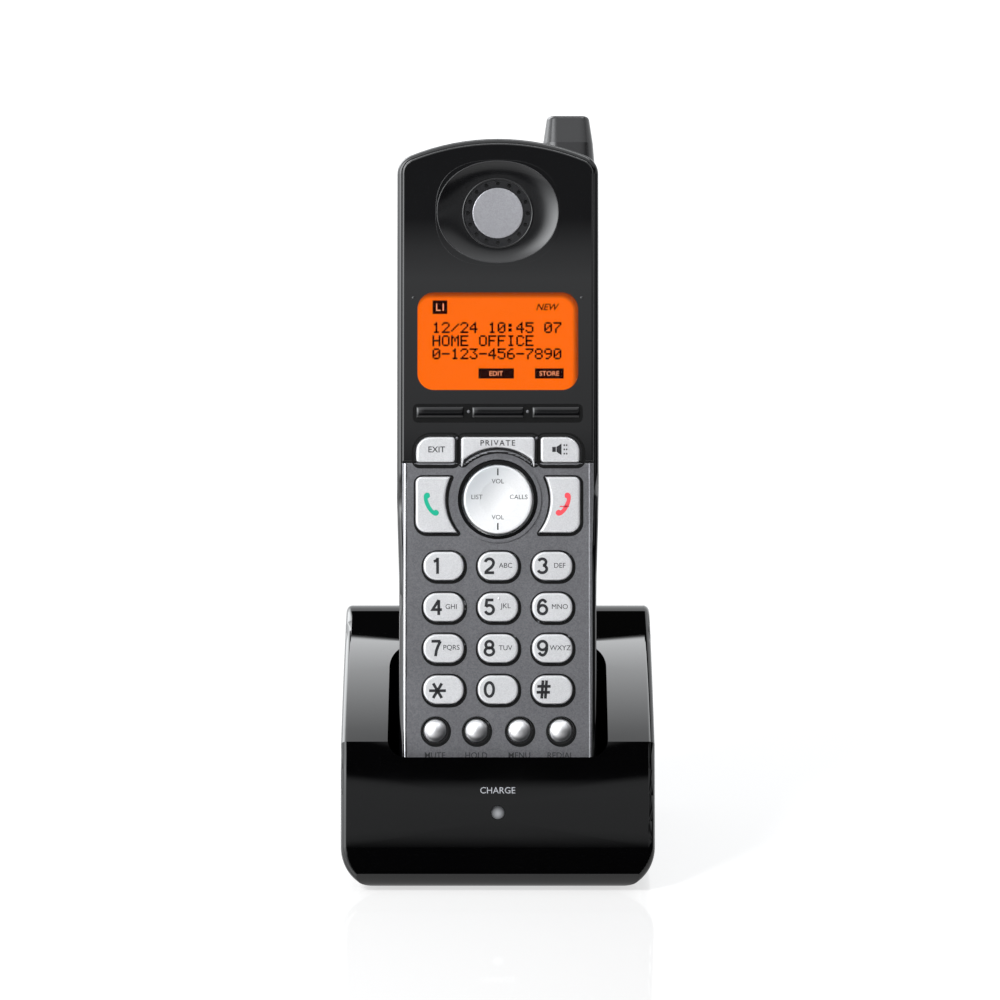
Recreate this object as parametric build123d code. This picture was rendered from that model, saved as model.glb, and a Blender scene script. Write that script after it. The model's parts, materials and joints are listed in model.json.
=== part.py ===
from build123d import *
import os
from math import cos, radians, sin, sqrt, tan

os.makedirs("parts", exist_ok=True)

# Cordless telephone handset standing in its charging cradle. Millimetres, +Z up, +X to the right as seen
# from the front, and the front faces -Y. The handset is drawn upright in its own frame, with X across, Y back
# from its face and Z up its length from its foot, and is then leaned back into the cradle. The origin is on
# the surface that the cradle stands on, below the centre of the whole product.

# Handset outline
handset_length = 163.4
handset_width = 50.0
foot_width = 48.7
foot_straight = 44.0        # the foot keeps its width up to here
body_straight = 80.0        # and from here up the sides are straight again
crown_radius = 58.0         # the arched top edge
crown_corner = 5.0
foot_corner = 4.0
handset_depth = 24.5
rear_round = 5.0            # along the rear edges
face_round = 1.2            # along the front edges

# Handset walls and layers, counted back from the face
shell_wall = 1.8
shell_face = 0.8            # the shell's rim lies this far behind the face plates
plate_thickness = 1.7
web_thickness = 1.4         # of the front shell behind the plates
parting_depth = 12.6        # where the two shells meet
plate_inset = 1.3           # from the outline to the face plates
plate_edge = 0.5
fit_gap = 0.1               # between pieces that are fitted together
board_front = 6.4
board_thickness = 1.6

# Keys
key_gap = 0.25
key_lip = 0.6               # the flange that keeps a key behind the web
key_lip_thickness = 0.8
key_travel = 0.7
key_round = 0.6
dome_gap = 0.1              # left under a key that is fully pressed
membrane_sheet = 1.0
digit_width = 9.9
digit_height = 7.0
digit_corner = 3.3
digit_proud = 1.0
digit_pitch_x = 13.4
digit_pitch_z = 10.17
digit_lowest = 26.3         # height of the lowest row
round_key_radius = 2.63
round_key_crown = 3.1       # radius of its domed top
round_key_proud = 1.3
round_key_socket = 3.35
round_key_height = 16.2
round_key_inner = 5.3       # the inner pair, either side of the centre
round_key_outer = 15.45

# Navigation key with the talk and end keys beside it
nav_height = 73.3
nav_radius = 8.5
nav_proud = 0.9
nav_tilt_gap = 0.45
nav_dish_radius = 40.0
nav_dish_depth = 0.25
nav_lip = 0.9
nav_tilt_room = 0.6         # behind the web, for the flange to tilt
nav_well_radius = 9.9       # opening in the fascia round the key
nav_ring_width = 0.85
nav_ring_proud = 0.4
nav_pivot_radius = 1.5      # of the ball that the key rocks on
call_key_inner = 13.0       # the inner edge is an arc about the navigation key
call_key_outer = 20.3
call_key_low = 65.1
call_key_high = 78.9
call_key_corner = 1.5
call_key_foot_corner = 2.7
call_key_proud = 0.8

# Line keys and soft keys in the display bezel
line_key_low = 82.5
line_key_high = 88.8
line_key_outer = 20.2
line_key_split = 10.6
line_key_space = 1.5
line_key_corner = 0.8
line_key_shoulder = 3.6     # the outer upper corner of the exit and speaker keys
line_key_proud = 0.5
privacy_arc = 12.9          # the privacy key's lower edge, about the navigation key
soft_key_height = 94.9
soft_key_thickness = 2.75
soft_key_side_width = 11.6
soft_key_side_place = 14.35
soft_key_middle_width = 12.7
soft_key_corner = 0.8
soft_key_proud = 0.6

# Boundary between the fascia and the bezel
fascia_top = 82.45
fascia_arch = 12.35         # radius about the navigation key
plate_seam = 0.12

# Display
window_width = 39.8
window_height = 24.3
window_centre = 112.6
window_corner = 4.1
window_recess = 0.35
window_flange = 0.7
window_flange_thickness = 0.7
panel_thickness = 1.9

# Earpiece
earpiece_from_top = 18.8
dish_width = 30.3
dish_height = 25.9
dish_slope = 4.2            # how much the dish narrows on each side, from its rim to its bed
dish_depth = 1.1
dish_shoulder = 1.2         # in from the rim, where the dish is half as deep
dish_corner = 11.5
grille_radius = 8.6
grille_thickness = 0.8
cap_radius = 6.3
cap_thickness = 0.5
sound_hole_radius = 0.5
sound_hole_count = 16
receiver_radius = 9.4
receiver_thickness = 4.2
receiver_port = 5.0

# Inside the handset
board_low = 3.0
board_high = 128.0
board_side_gap = 1.2
membrane_low = 11.6
membrane_high = 98.2
membrane_width = 42.0
boss_radius = 2.8
boss_side = 18.4
boss_low = 7.4
boss_from_top = 30.4
screw_shank = 1.0
screw_head = 2.2
screw_head_thickness = 1.5
screw_sink = 3.4            # depth of the head below the back
thread_grip = 7.0
mic_radius = 3.0
mic_thickness = 2.2
mic_height = 5.6
mic_hole = 0.6
loudspeaker_radius = 9.5
loudspeaker_thickness = 4.0
loudspeaker_height = 121.0
slot_length = 13.0
slot_width = 1.2
slot_pitch = 2.6
slot_count = 5

# Battery
cell_radius = 5.25
cell_length = 44.5
cell_count = 3
cell_wrap = 0.2             # between neighbouring cells
battery_low = 52.0
battery_side_room = 0.6
battery_top_room = 4.0      # for the connector
battery_floor = 1.2
battery_wall = 2.6
connector_width = 7.0
connector_length = 3.2
connector_depth = 5.0
door_width = 37.0
door_thickness = 1.6
door_overlap = 3.6          # beyond the battery compartment at each end
door_travel = 5.0
door_corner = 2.0
ledge_thickness = 2.2
hook_length = 4.0
hook_reach = 1.0
hook_thickness = 1.1
hook_spread = 28.0          # between the two hooks of one side
grip_depth = 0.6
grip_width = 1.0
grip_length = 14.0
grip_pitch = 2.2
grip_count = 4

# Antenna
antenna_foot = 152.0
antenna_bend = 164.5
antenna_top = 171.6
antenna_foot_width = 14.6
antenna_bend_width = 12.6
antenna_top_width = 10.5
antenna_foot_depth = 11.2
antenna_bend_depth = 8.6
antenna_top_depth = 5.6
antenna_bend_corner = 3.6
antenna_top_corner = 2.4
antenna_tip_round = 1.2
antenna_axis_back = 5.0     # from the back of the handset to the element
element_radius = 1.0
element_low = 154.0
element_cover = 2.0         # over the element's tip

# Charging contacts
contact_side = 9.0
contact_depth = 17.5        # back from the face
contact_width = 3.0
contact_thickness = 1.2
contact_travel = 0.8
contact_length = 7.0
contact_stop = 1.0          # shoulder under the pocket floor
pad_width = 5.0
pad_depth = 4.0
pad_thickness = 0.5
touch_gap = 0.05

# Cradle
lean = 18.0                 # degrees that the handset leans back
cradle_width = 77.2
cradle_corner = 10.0        # lower corners in front elevation
cradle_depth = 71.5
cradle_wall = 2.2
foot_gap = 0.8              # the housing stands clear of the surface
apron_foot = 5.0            # height where the apron starts to lean
crease_height = 35.85       # where the apron meets the arms
arm_back = 70.0             # where the top of the arms ends
arm_top = 59.44
arm_crown = 2.48            # rise of the arched top over its chord
apron_crown = 0.25
edge_round = 1.6
hem_round = 4.0
rear_top_round = 10.0
lip_height = 9.6            # of the pocket's front lip, up the handset
lip_corner = 4.5
front_wall = 2.5            # between apron and pocket
seat_gap = 0.3              # round the handset's foot
pocket_half = 27.1
pocket_corner = 8.0
guide_height = 6.5
guide_gap = 0.35
tub_wall = 1.8
seat_corner = 5.3

# Cradle base
plate_half = 30.0
base_front = 3.6
base_back = 67.9
base_thickness = 2.2
base_corner = 2.0
foot_radius = 4.5
foot_sunk = 0.6
foot_side = 21.5
foot_front = 12.5
foot_rear = 59.0
post_side = 21.5
post_front = 22.5
post_rear = 49.0
post_radius = 3.0
post_height = 12.0
post_rib = 1.6
cradle_screw_head = 2.4
cradle_screw_sink = 1.0
cradle_thread = 7.0

# Cradle electronics
cradle_board_half = 17.0
cradle_board_front = 8.5
cradle_board_back = 63.0
cradle_board_raise = 2.0
standoff_radius = 2.0
standoff_side = 13.5
standoff_front = 16.0
standoff_rear = 44.0
pipe_radius = 1.65
pipe_height = 19.3          # where its axis meets the apron
pipe_leg = 2.6
led_width = 3.0
led_height = 1.8
led_depth = 12.5
jack_side = -9.0
jack_width = 9.0
jack_depth = 13.0
jack_height = 10.0
jack_bore = 2.9
jack_bore_depth = 9.5
jack_pin = 0.75
jack_collar = 4.0
jack_collar_reach = 1.2
block_width = 30.0
block_depth = 5.0
block_height = 2.0

# Values that follow
web_front = plate_thickness
web_back = web_front + web_thickness
lip_front = web_back + fit_gap
lip_back = lip_front + key_lip_thickness
dome_front = lip_back + key_travel + dome_gap
sheet_front = board_front - membrane_sheet
board_back = board_front + board_thickness
earpiece_height = handset_length - earpiece_from_top
boss_high = handset_length - boss_from_top
rear_inner = handset_depth - shell_wall
battery_half = (cell_count - 1) * (cell_radius + cell_wrap / 2) + cell_radius + battery_side_room
battery_high = battery_low + cell_length + battery_top_room
floor_back = board_back + 1.0 + battery_floor
door_low = battery_low - door_overlap
door_high = battery_high + door_overlap
door_front = handset_depth - door_thickness
ledge_front = door_front - fit_gap - ledge_thickness
hook_heights = [(door_low + door_high) / 2 + side * hook_spread / 2 for side in (-1, 1)]
antenna_depth = handset_depth - antenna_axis_back
antenna_side = (handset_width - antenna_foot_width) / 2   # flush with the case's side

lean_sin, lean_cos, lean_tan = sin(radians(lean)), cos(radians(lean)), tan(radians(lean))
face_offset = front_wall + seat_gap
crease_depth = (crease_height - apron_foot) * lean_tan
pipe_level = -(seat_gap + tub_wall + 2 * fit_gap + pipe_radius)   # up the handset, below its pocket
handset_rest = pipe_height - pipe_level * lean_cos - face_offset * lean_sin
handset_front = (handset_rest - apron_foot) * lean_tan + face_offset / lean_cos
rear_reach = handset_front + antenna_top * lean_sin + antenna_depth * lean_cos
front_y = -max(rear_reach + antenna_top_depth / 2, cradle_depth) / 2
base_top = foot_gap + base_thickness
cradle_board_top = base_top + cradle_board_raise + board_thickness

cradle_place = Location((0, front_y, 0))
handset_place = Location((0, front_y + handset_front, handset_rest), (-lean, 0, 0))

nodes = {}


# Helpers

def slab(face, front, back):
    # prism of a shape in front elevation, from one depth to another
    return extrude(Plane((0, front, 0), x_dir=(1, 0, 0), z_dir=(0, -1, 0)) * face, amount=front - back)


def block(x0, x1, y0, y1, z0, z1):
    return Pos((x0 + x1) / 2, (y0 + y1) / 2, (z0 + z1) / 2) * Box(x1 - x0, y1 - y0, z1 - z0)


def rod(radius, x, z, front, back):
    # cylinder along the depth
    return slab(Pos(x, z) * Circle(radius), front, back)


def post(radius, x, y, low, high):
    # cylinder along the height
    return Pos(x, y, (low + high) / 2) * Cylinder(radius, high - low)


def panel(width, height, corner, x=0.0, z=0.0):
    return Pos(x, z) * RectangleRounded(width, height, corner)


def one(shape):
    # the single solid of a boolean result
    return shape.solids().sort_by(SortBy.VOLUME)[-1]


def group(shapes):
    # like pieces kept as separate solids of one node
    return Compound([one(shape) for shape in shapes])


def handset_outline(inset=0.0):
    half, foot = handset_width / 2 - inset, foot_width / 2 - inset
    crown = crown_radius - inset
    top = handset_length - inset
    shoulder = top - crown + sqrt(crown**2 - half**2)
    middle = ((half + foot) / 2, (foot_straight + body_straight) / 2)
    right = [
        Line((foot, inset), (foot, foot_straight)),
        TangentArc((foot, foot_straight), middle, tangent=(0, 1)),
        TangentArc((half, body_straight), middle, tangent=(0, -1)),
        Line((half, body_straight), (half, shoulder)),
    ]
    left = [mirror(edge, about=Plane.YZ) for edge in right]
    arch = ThreePointArc((half, shoulder), (0, top), (-half, shoulder))
    sole = Line((-foot, inset), (foot, inset))
    outline = make_face(right + left + [arch, sole])
    for height, radius in ((shoulder, crown_corner), (inset, foot_corner)):
        corners = [v for v in outline.vertices() if abs(v.Y - height) < fit_gap / 10]
        outline = fillet(corners, max(radius - inset, fit_gap))
    return outline


def below_seam(grow):
    # the part of the front elevation that the fascia covers
    lower = Pos(0, (fascia_top + grow) / 2) * Rectangle(2 * handset_width, fascia_top + grow)
    return lower + Pos(0, nav_height) * Circle(fascia_arch + grow)


# Key shapes in front elevation

def call_key_face(side):
    width = call_key_outer - nav_radius
    height = call_key_high - call_key_low
    face = Pos(side * (call_key_outer - width / 2), call_key_low + height / 2) * Rectangle(width, height)
    outer = face.vertices().sort_by(Axis.X)[-2:] if side > 0 else face.vertices().sort_by(Axis.X)[:2]
    face = fillet(outer.sort_by(Axis.Y)[-1], call_key_corner)
    low_outer = face.vertices().group_by(Axis.Y)[0].sort_by(Axis.X)[-1 if side > 0 else 0]
    face = fillet(low_outer, call_key_foot_corner)
    return face - Pos(0, nav_height) * Circle(call_key_inner)


def line_key_face(left, right):
    middle = (line_key_low + line_key_high) / 2
    face = Pos((left + right) / 2, middle) * Rectangle(right - left, line_key_high - line_key_low)

    def at_shoulder(corner):
        return abs(abs(corner.X) - line_key_outer) < fit_gap and abs(corner.Y - line_key_high) < fit_gap

    face = fillet([corner for corner in face.vertices() if not at_shoulder(corner)], line_key_corner)
    shoulder = [corner for corner in face.vertices() if at_shoulder(corner)]
    face = fillet(shoulder, line_key_shoulder) if shoulder else face
    return face - Pos(0, nav_height) * Circle(privacy_arc)


def soft_key_face(width, x):
    return panel(width, soft_key_thickness, soft_key_corner, x, soft_key_height)


digit_names = [["key_star", "key_0", "key_hash"], ["key_7", "key_8", "key_9"],
               ["key_4", "key_5", "key_6"], ["key_1", "key_2", "key_3"]]
digit_faces = {
    name: panel(digit_width, digit_height, digit_corner, (column - 1) * digit_pitch_x,
                digit_lowest + row * digit_pitch_z)
    for row, names in enumerate(digit_names) for column, name in enumerate(names)
}
round_places = {"mute_key": -round_key_outer, "hold_key": -round_key_inner,
                "menu_key": round_key_inner, "redial_key": round_key_outer}
call_faces = {"talk_key": call_key_face(-1), "end_key": call_key_face(1)}
privacy_half = line_key_split - line_key_space
line_faces = {
    "exit_key": line_key_face(-line_key_outer, -line_key_split),
    "privacy_key": line_key_face(-privacy_half, privacy_half),
    "speaker_key": line_key_face(line_key_split, line_key_outer),
}
soft_faces = {
    "soft_key_left": soft_key_face(soft_key_side_width, -soft_key_side_place),
    "soft_key_middle": soft_key_face(soft_key_middle_width, 0),
    "soft_key_right": soft_key_face(soft_key_side_width, soft_key_side_place),
}
fascia_keys = digit_faces | call_faces
bezel_keys = line_faces | soft_faces


def key_hole(face, front, back, gap=key_gap):
    return slab(offset(face, amount=gap), front, back)


def key(face, proud):
    cap = slab(face, -proud, lip_back)
    cap = fillet(cap.edges().group_by(Axis.Y)[0], key_round)
    return one(cap + slab(offset(face, amount=key_lip), lip_front, lip_back))


def round_key(x):
    stem = rod(round_key_radius, x, round_key_height, -round_key_proud, lip_back)
    dome = Pos(x, round_key_crown - round_key_proud, round_key_height) * Sphere(round_key_crown)
    top = stem & (dome + rod(round_key_radius + 1, x, round_key_height, 0.0, lip_back))
    return one(top + rod(round_key_radius + key_lip, x, round_key_height, lip_front, lip_back))


def pivot_ball(grow):
    # half a ball on the membrane, about the point where both tilt axes meet
    ball = Pos(0, sheet_front - fit_gap, nav_height) * Sphere(nav_pivot_radius + grow)
    return ball & rod(2 * nav_pivot_radius, 0, nav_height, 0, sheet_front - fit_gap)


def navigation_key():
    lip = lip_front + nav_tilt_room
    cap = rod(nav_radius, 0, nav_height, -nav_proud, lip + key_lip_thickness)
    cap = fillet(cap.edges().group_by(Axis.Y)[0], key_round)
    hollow = Pos(0, nav_dish_depth - nav_proud - nav_dish_radius, nav_height) * Sphere(nav_dish_radius)
    flange = rod(nav_radius + nav_lip, 0, nav_height, lip, lip + key_lip_thickness)
    return one(cap - hollow + flange - pivot_ball(fit_gap))


# Handset shells and face plates

def bosses(low, high, front, back, radius):
    return [rod(radius, side * boss_side, z, front, back) for side in (-1, 1) for z in (low, high)]


def front_shell():
    body = slab(handset_outline(), shell_face, parting_depth)
    body = fillet(body.edges().group_by(Axis.Y)[0], face_round)
    body -= slab(handset_outline(shell_wall), web_back, parting_depth + 1)
    for boss in bosses(boss_low, boss_high, web_back, parting_depth, boss_radius):
        body += boss
    body -= slab(handset_outline(plate_inset - fit_gap), -1, web_front)
    body -= membrane_sheet_block(fit_gap)
    for face in (fascia_keys | bezel_keys).values():
        body -= key_hole(face, 0, web_back + fit_gap)
    for x in round_places.values():
        body -= rod(round_key_radius + key_gap, x, round_key_height, 0, web_back + fit_gap)
    body -= rod(nav_radius + nav_tilt_gap, 0, nav_height, 0, web_back + fit_gap)
    grow = 2 * (window_flange + fit_gap)
    opening = panel(window_width + grow, window_height + grow, window_corner, 0, window_centre)
    body -= slab(opening, 0, parting_depth)
    body -= rod(receiver_port, 0, earpiece_height, 0, web_back + fit_gap)
    body -= rod(mic_hole, 0, mic_height, 0, web_back + fit_gap)
    thread_front = parting_depth - thread_grip
    for hole in bosses(boss_low, boss_high, thread_front, parting_depth + 1, screw_shank + fit_gap / 2):
        body -= hole
    return one(body)


def keypad_fascia():
    plate = slab(handset_outline(plate_inset) & below_seam(0), 0, plate_thickness)
    plate = fillet(plate.edges().group_by(Axis.Y)[0], plate_edge)
    plate += rod(nav_well_radius + nav_ring_width, 0, nav_height, -nav_ring_proud, plate_thickness)
    plate -= rod(nav_well_radius, 0, nav_height, -1, plate_thickness)
    for face in (fascia_keys | line_faces).values():
        plate -= key_hole(face, -1, plate_thickness)
    for x in round_places.values():
        plate -= rod(round_key_socket, x, round_key_height, -1, plate_thickness)
    plate -= rod(mic_hole, 0, mic_height, -1, plate_thickness)
    return one(plate)


def dish_section(inset, depth):
    rim = panel(dish_width - 2 * inset, dish_height - 2 * inset, dish_corner - inset, 0, earpiece_height)
    return Plane((0, depth, 0), x_dir=(1, 0, 0), z_dir=(0, -1, 0)) * rim


def display_bezel():
    plate = slab(handset_outline(plate_inset) - below_seam(plate_seam), 0, plate_thickness)
    plate = fillet(plate.edges().group_by(Axis.Y)[0], plate_edge)
    for face in bezel_keys.values():
        plate -= key_hole(face, -1, plate_thickness)
    plate -= slab(panel(window_width, window_height, window_corner, 0, window_centre), -1, plate_thickness)
    plate -= loft([dish_section(0, 0), dish_section(dish_shoulder, dish_depth / 2),
                   dish_section(dish_slope, dish_depth)])
    plate -= rod(grille_radius + fit_gap, 0, earpiece_height, 0, plate_thickness)
    return one(plate)


def battery_bay():
    # walls and ledge that the rear shell has round the cells
    half = battery_half + battery_wall
    tub = block(-half, half, floor_back - battery_floor, rear_inner, battery_low - battery_wall,
                battery_high + battery_wall)
    edge = door_width / 2 + fit_gap + battery_floor
    ledge = block(-edge, edge, ledge_front, rear_inner, door_low - door_travel - battery_wall,
                  door_high + battery_wall)
    return tub + ledge


def hook_slots():
    # room for the door's hooks, and the gaps in the ledge that let them out at the end of the slide
    cuts = []
    reach = battery_half + hook_reach + 2 * fit_gap
    half = hook_length / 2 + fit_gap
    for z in hook_heights:
        front = ledge_front - hook_thickness - 2 * fit_gap
        cuts.append(block(-reach, reach, front, ledge_front, z - half - door_travel, z + half))
        low, high = z - half - door_travel, z + half - door_travel
        cuts.append(block(-reach, reach, front, handset_depth, low, high))
    return cuts


def rear_shell():
    body = slab(handset_outline(), parting_depth, handset_depth)
    body = fillet(body.edges().group_by(Axis.Y)[-1], rear_round)
    room = slab(handset_outline(shell_wall), parting_depth - 1, rear_inner)
    body -= fillet(room.edges().group_by(Axis.Y)[-1], rear_round - shell_wall)
    for boss in bosses(boss_low, boss_high, parting_depth, rear_inner, boss_radius):
        body += boss
    body += battery_bay()
    recess = panel(door_width + 2 * fit_gap, door_high - door_low + door_travel + 2 * fit_gap, door_corner, 0,
                   (door_high + door_low - door_travel) / 2)
    body -= slab(recess, door_front - fit_gap, handset_depth + 1)
    body -= block(-battery_half, battery_half, floor_back, handset_depth + 1, battery_low, battery_high)
    for cut in hook_slots():
        body -= cut
    for n in range(slot_count):
        z = loudspeaker_height + (n - (slot_count - 1) / 2) * slot_pitch
        slot = panel(slot_length, slot_width, slot_width / 2.1, 0, z)
        body -= slab(slot, rear_inner - 1, handset_depth + 1)
    for hole in bosses(boss_low, boss_high, parting_depth - 1, handset_depth, screw_shank + fit_gap):
        body -= hole
    sink_floor = handset_depth - screw_sink - screw_head_thickness
    for sink in bosses(boss_low, boss_high, sink_floor, handset_depth + 1,
                       screw_head + fit_gap):
        body -= sink
    body -= antenna_seat()
    for side in (-1, 1):
        body -= contact_pad(side, fit_gap)
    return one(body)


# Display, earpiece and the pieces behind the face

def display_window():
    width, height = window_width - 2 * fit_gap, window_height - 2 * fit_gap
    lens = panel(width, height, window_corner - fit_gap, 0, window_centre)
    flange = offset(panel(window_width, window_height, window_corner, 0, window_centre), amount=window_flange)
    front = slab(lens, window_recess, web_front)
    return one(front + slab(flange, web_front, web_front + window_flange_thickness))


def behind_window(front, thickness):
    flange = panel(window_width + 2 * window_flange, window_height + 2 * window_flange, window_corner, 0,
                   window_centre)
    return one(slab(flange, front, front + thickness))


def earpiece_grille():
    disc = rod(grille_radius, 0, earpiece_height, web_front - grille_thickness, web_front)
    ring = (cap_radius + grille_radius) / 2
    for n in range(sound_hole_count):
        angle = radians(360 * n / sound_hole_count)
        disc -= rod(sound_hole_radius, ring * cos(angle), earpiece_height + ring * sin(angle), 0, web_front)
    return one(disc - rod(receiver_port - 1, 0, earpiece_height, 0, web_front))


def earpiece_cap():
    cap_back = web_front - grille_thickness
    cap = rod(cap_radius, 0, earpiece_height, cap_back - cap_thickness, cap_back)
    return one(fillet(cap.edges().group_by(Axis.Y)[0], cap_thickness / 2))


def membrane_sheet_block(grow):
    half = membrane_width / 2 + grow
    low, high = membrane_low - grow, membrane_high + grow
    return block(-half, half, sheet_front - grow, board_front + grow, low, high)


def keypad_membrane():
    sheet = membrane_sheet_block(0)
    dome = digit_height / 4
    places = [face.center() for face in (fascia_keys | bezel_keys).values()]
    for place in [(p.X, p.Y) for p in places] + [(x, round_key_height) for x in round_places.values()]:
        sheet += rod(min(dome, soft_key_thickness / 2), *place, dome_front, sheet_front)
    return one(sheet)


def main_board():
    half = handset_width / 2 - shell_wall - board_side_gap - (handset_width - foot_width) / 2
    board = block(-half, half, board_front, board_back, board_low, board_high)
    for hole in bosses(boss_low, boss_high, board_front - 1, board_back + 1, boss_radius + key_gap):
        board -= hole
    return one(board)


def handset_screw(side, z):
    head_front = handset_depth - screw_sink - screw_head_thickness
    shank = rod(screw_shank, side * boss_side, z, parting_depth - thread_grip + 1, head_front)
    return shank + rod(screw_head, side * boss_side, z, head_front, handset_depth - screw_sink)


def battery_pack():
    axis = floor_back + fit_gap / 2 + cell_radius
    pitch = 2 * cell_radius + cell_wrap
    pack = None
    for n in range(cell_count):
        x = (n - (cell_count - 1) / 2) * pitch
        cell = post(cell_radius, x, axis, battery_low + fit_gap, battery_low + fit_gap + cell_length)
        pack = cell if pack is None else pack + cell
    half = (cell_count - 1) / 2 * pitch
    wrap = block(-half, half, axis - cell_radius / 2, axis + cell_radius / 2, battery_low + 2 * fit_gap,
                 battery_low + cell_length)
    return one(pack + wrap)


def battery_connector():
    low = battery_low + cell_length + 3 * fit_gap
    return block(-battery_half + fit_gap, -battery_half + fit_gap + connector_width, floor_back + fit_gap / 2,
                 floor_back + fit_gap / 2 + connector_depth, low, low + connector_length)


def battery_door():
    middle = (door_low + door_high) / 2
    plate = slab(panel(door_width, door_high - door_low, door_corner, 0, middle), door_front, handset_depth)
    inner = battery_half - fit_gap
    for z in hook_heights:
        for side in (-1, 1):
            stem = sorted((side * (inner - hook_thickness), side * inner))
            toe = sorted((side * (inner - hook_thickness), side * (battery_half + hook_reach)))
            low, high = z - hook_length / 2, z + hook_length / 2
            toe_back = ledge_front - fit_gap
            plate += block(*stem, toe_back - hook_thickness, door_front, low, high)
            plate += block(*toe, toe_back - hook_thickness, toe_back, low, high)
    for n in range(grip_count):
        z = door_high - door_overlap - n * grip_pitch
        plate -= slab(panel(grip_length, grip_width, grip_width / 2.1, 0, z), handset_depth - grip_depth,
                      handset_depth + 1)
    return one(plate)


# Antenna at the top right of the rear shell

def antenna_section(z, width, depth, corner, step_back=0.0):
    middle = handset_depth - step_back - depth / 2
    level = Plane((antenna_side, middle, z), x_dir=(1, 0, 0), z_dir=(0, 0, 1))
    return level * RectangleRounded(width, depth, corner)


def antenna_form():
    step = (antenna_foot_depth - antenna_bend_depth) / 4
    tip_step = (antenna_foot_depth - antenna_top_depth) / 4
    return loft([
        antenna_section(antenna_foot, antenna_foot_width, antenna_foot_depth, rear_round - fit_gap),
        antenna_section(antenna_bend, antenna_bend_width, antenna_bend_depth, antenna_bend_corner, step),
        antenna_section(antenna_top, antenna_top_width, antenna_top_depth, antenna_top_corner, tip_step),
    ], ruled=True)


def antenna_seat():
    # straight notch in the shell's top corner, a little larger than the antenna's foot
    grow = 2 * fit_gap
    width, depth = antenna_foot_width + grow, antenna_foot_depth + grow
    foot = antenna_section(antenna_foot - fit_gap, width, depth, rear_round, -fit_gap)
    return extrude(foot, amount=handset_length - antenna_foot + grow)


def antenna_cover():
    form = antenna_form()
    form = fillet(form.edges().group_by(Axis.Z)[-1], antenna_tip_round)
    element_top = antenna_top - element_cover
    bore = post(element_radius + fit_gap, antenna_side, antenna_depth, antenna_foot - 1, element_top)
    return one(form - bore)


# Charging contacts

def contact_pad(side, grow):
    x, y = side * contact_side, contact_depth
    half_x, half_y = pad_width / 2 + grow, pad_depth / 2 + grow
    return block(x - half_x, x + half_x, y - half_y, y + half_y, -grow, pad_thickness + grow)


def floor_level():
    # underside of the pocket floor, up the handset's length
    return -seat_gap - tub_wall


def charge_contact(side):
    x = side * contact_side
    half = contact_width / 2
    front, back = contact_depth - contact_thickness / 2, contact_depth + contact_thickness / 2
    blade = block(x - half, x + half, front, back, -contact_length, -touch_gap)
    blade = fillet(blade.edges().group_by(Axis.Z)[-1].filter_by(Axis.X), contact_thickness / 3)
    shoulder = floor_level() - fit_gap
    left, right = x - half - contact_stop, x + half + contact_stop
    return one(blade + block(left, right, front, back, shoulder - contact_stop, shoulder))


def contact_slot(side, low, high):
    x = side * contact_side
    half_x, half_y = contact_width / 2 + fit_gap, contact_thickness / 2 + fit_gap
    return block(x - half_x, x + half_x, contact_depth - half_y, contact_depth + half_y, low, high)


def contact_block():
    # guides the contacts under the pocket floor
    shoulder = floor_level() - fit_gap - contact_stop
    top = shoulder - contact_travel - 2 * fit_gap
    front, back = contact_depth - block_depth / 2, contact_depth + block_depth / 2
    guide = block(-block_width / 2, block_width / 2, front, back, top - block_height, top)
    for x in (-1, 0, 1):
        place = x * (block_width / 2 - contact_stop)
        guide += block(place - contact_stop, place + contact_stop, front, back, top, floor_level())
    for side in (-1, 1):
        guide -= contact_slot(side, top - block_height, top)
    return one(guide)


# Cradle, drawn from its own front with Z up from the surface

def cradle_body(inset):
    low, back = foot_gap + inset, cradle_depth - inset
    apron = [(inset, low), (inset, apron_foot)]
    crease = (crease_depth + inset / lean_cos, crease_height - inset)
    top = (arm_back - inset, arm_top - inset)
    chord_middle = ((crease[0] + top[0]) / 2, (crease[1] + top[1]) / 2 + arm_crown)
    apron_middle = ((apron[1][0] + crease[0]) / 2 - apron_crown, (apron[1][1] + crease[1]) / 2)
    side = make_face([
        Line(apron[0], apron[1]),
        ThreePointArc(apron[1], apron_middle, crease),
        ThreePointArc(crease, chord_middle, top),
        Line(top, (back, low)),
        Line((back, low), apron[0]),
    ])
    rear_corner = side.vertices().sort_by_distance((top[0], top[1], 0))[0]
    side = fillet(rear_corner, rear_top_round - inset)
    hems = [side.vertices().sort_by_distance((y, low, 0))[0] for y in (apron[0][0], back)]
    side = fillet(hems, hem_round - inset)
    half = cradle_width / 2 - inset
    front = Pos(0, (low + arm_top) / 2 + 1) * Rectangle(2 * half, arm_top - low + 2)
    front = fillet(front.vertices().group_by(Axis.Y)[0], cradle_corner - inset)
    walls = extrude(Plane.YZ * side, amount=half, both=True)
    return walls & slab(front, -1, cradle_depth + 1)


def in_cradle(shape):
    # from the handset's frame to the cradle's
    return Location((0, handset_front, handset_rest), (-lean, 0, 0)) * shape


def pocket_prism(half, corner, front, back, low, high):
    middle = Pos(0, (front + back) / 2, low)
    prism = middle * extrude(Rectangle(2 * half, back - front), amount=high - low)
    rear = prism.edges().filter_by(Axis.Z).group_by(Axis.Y)[-1]
    return fillet(rear, corner)


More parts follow.
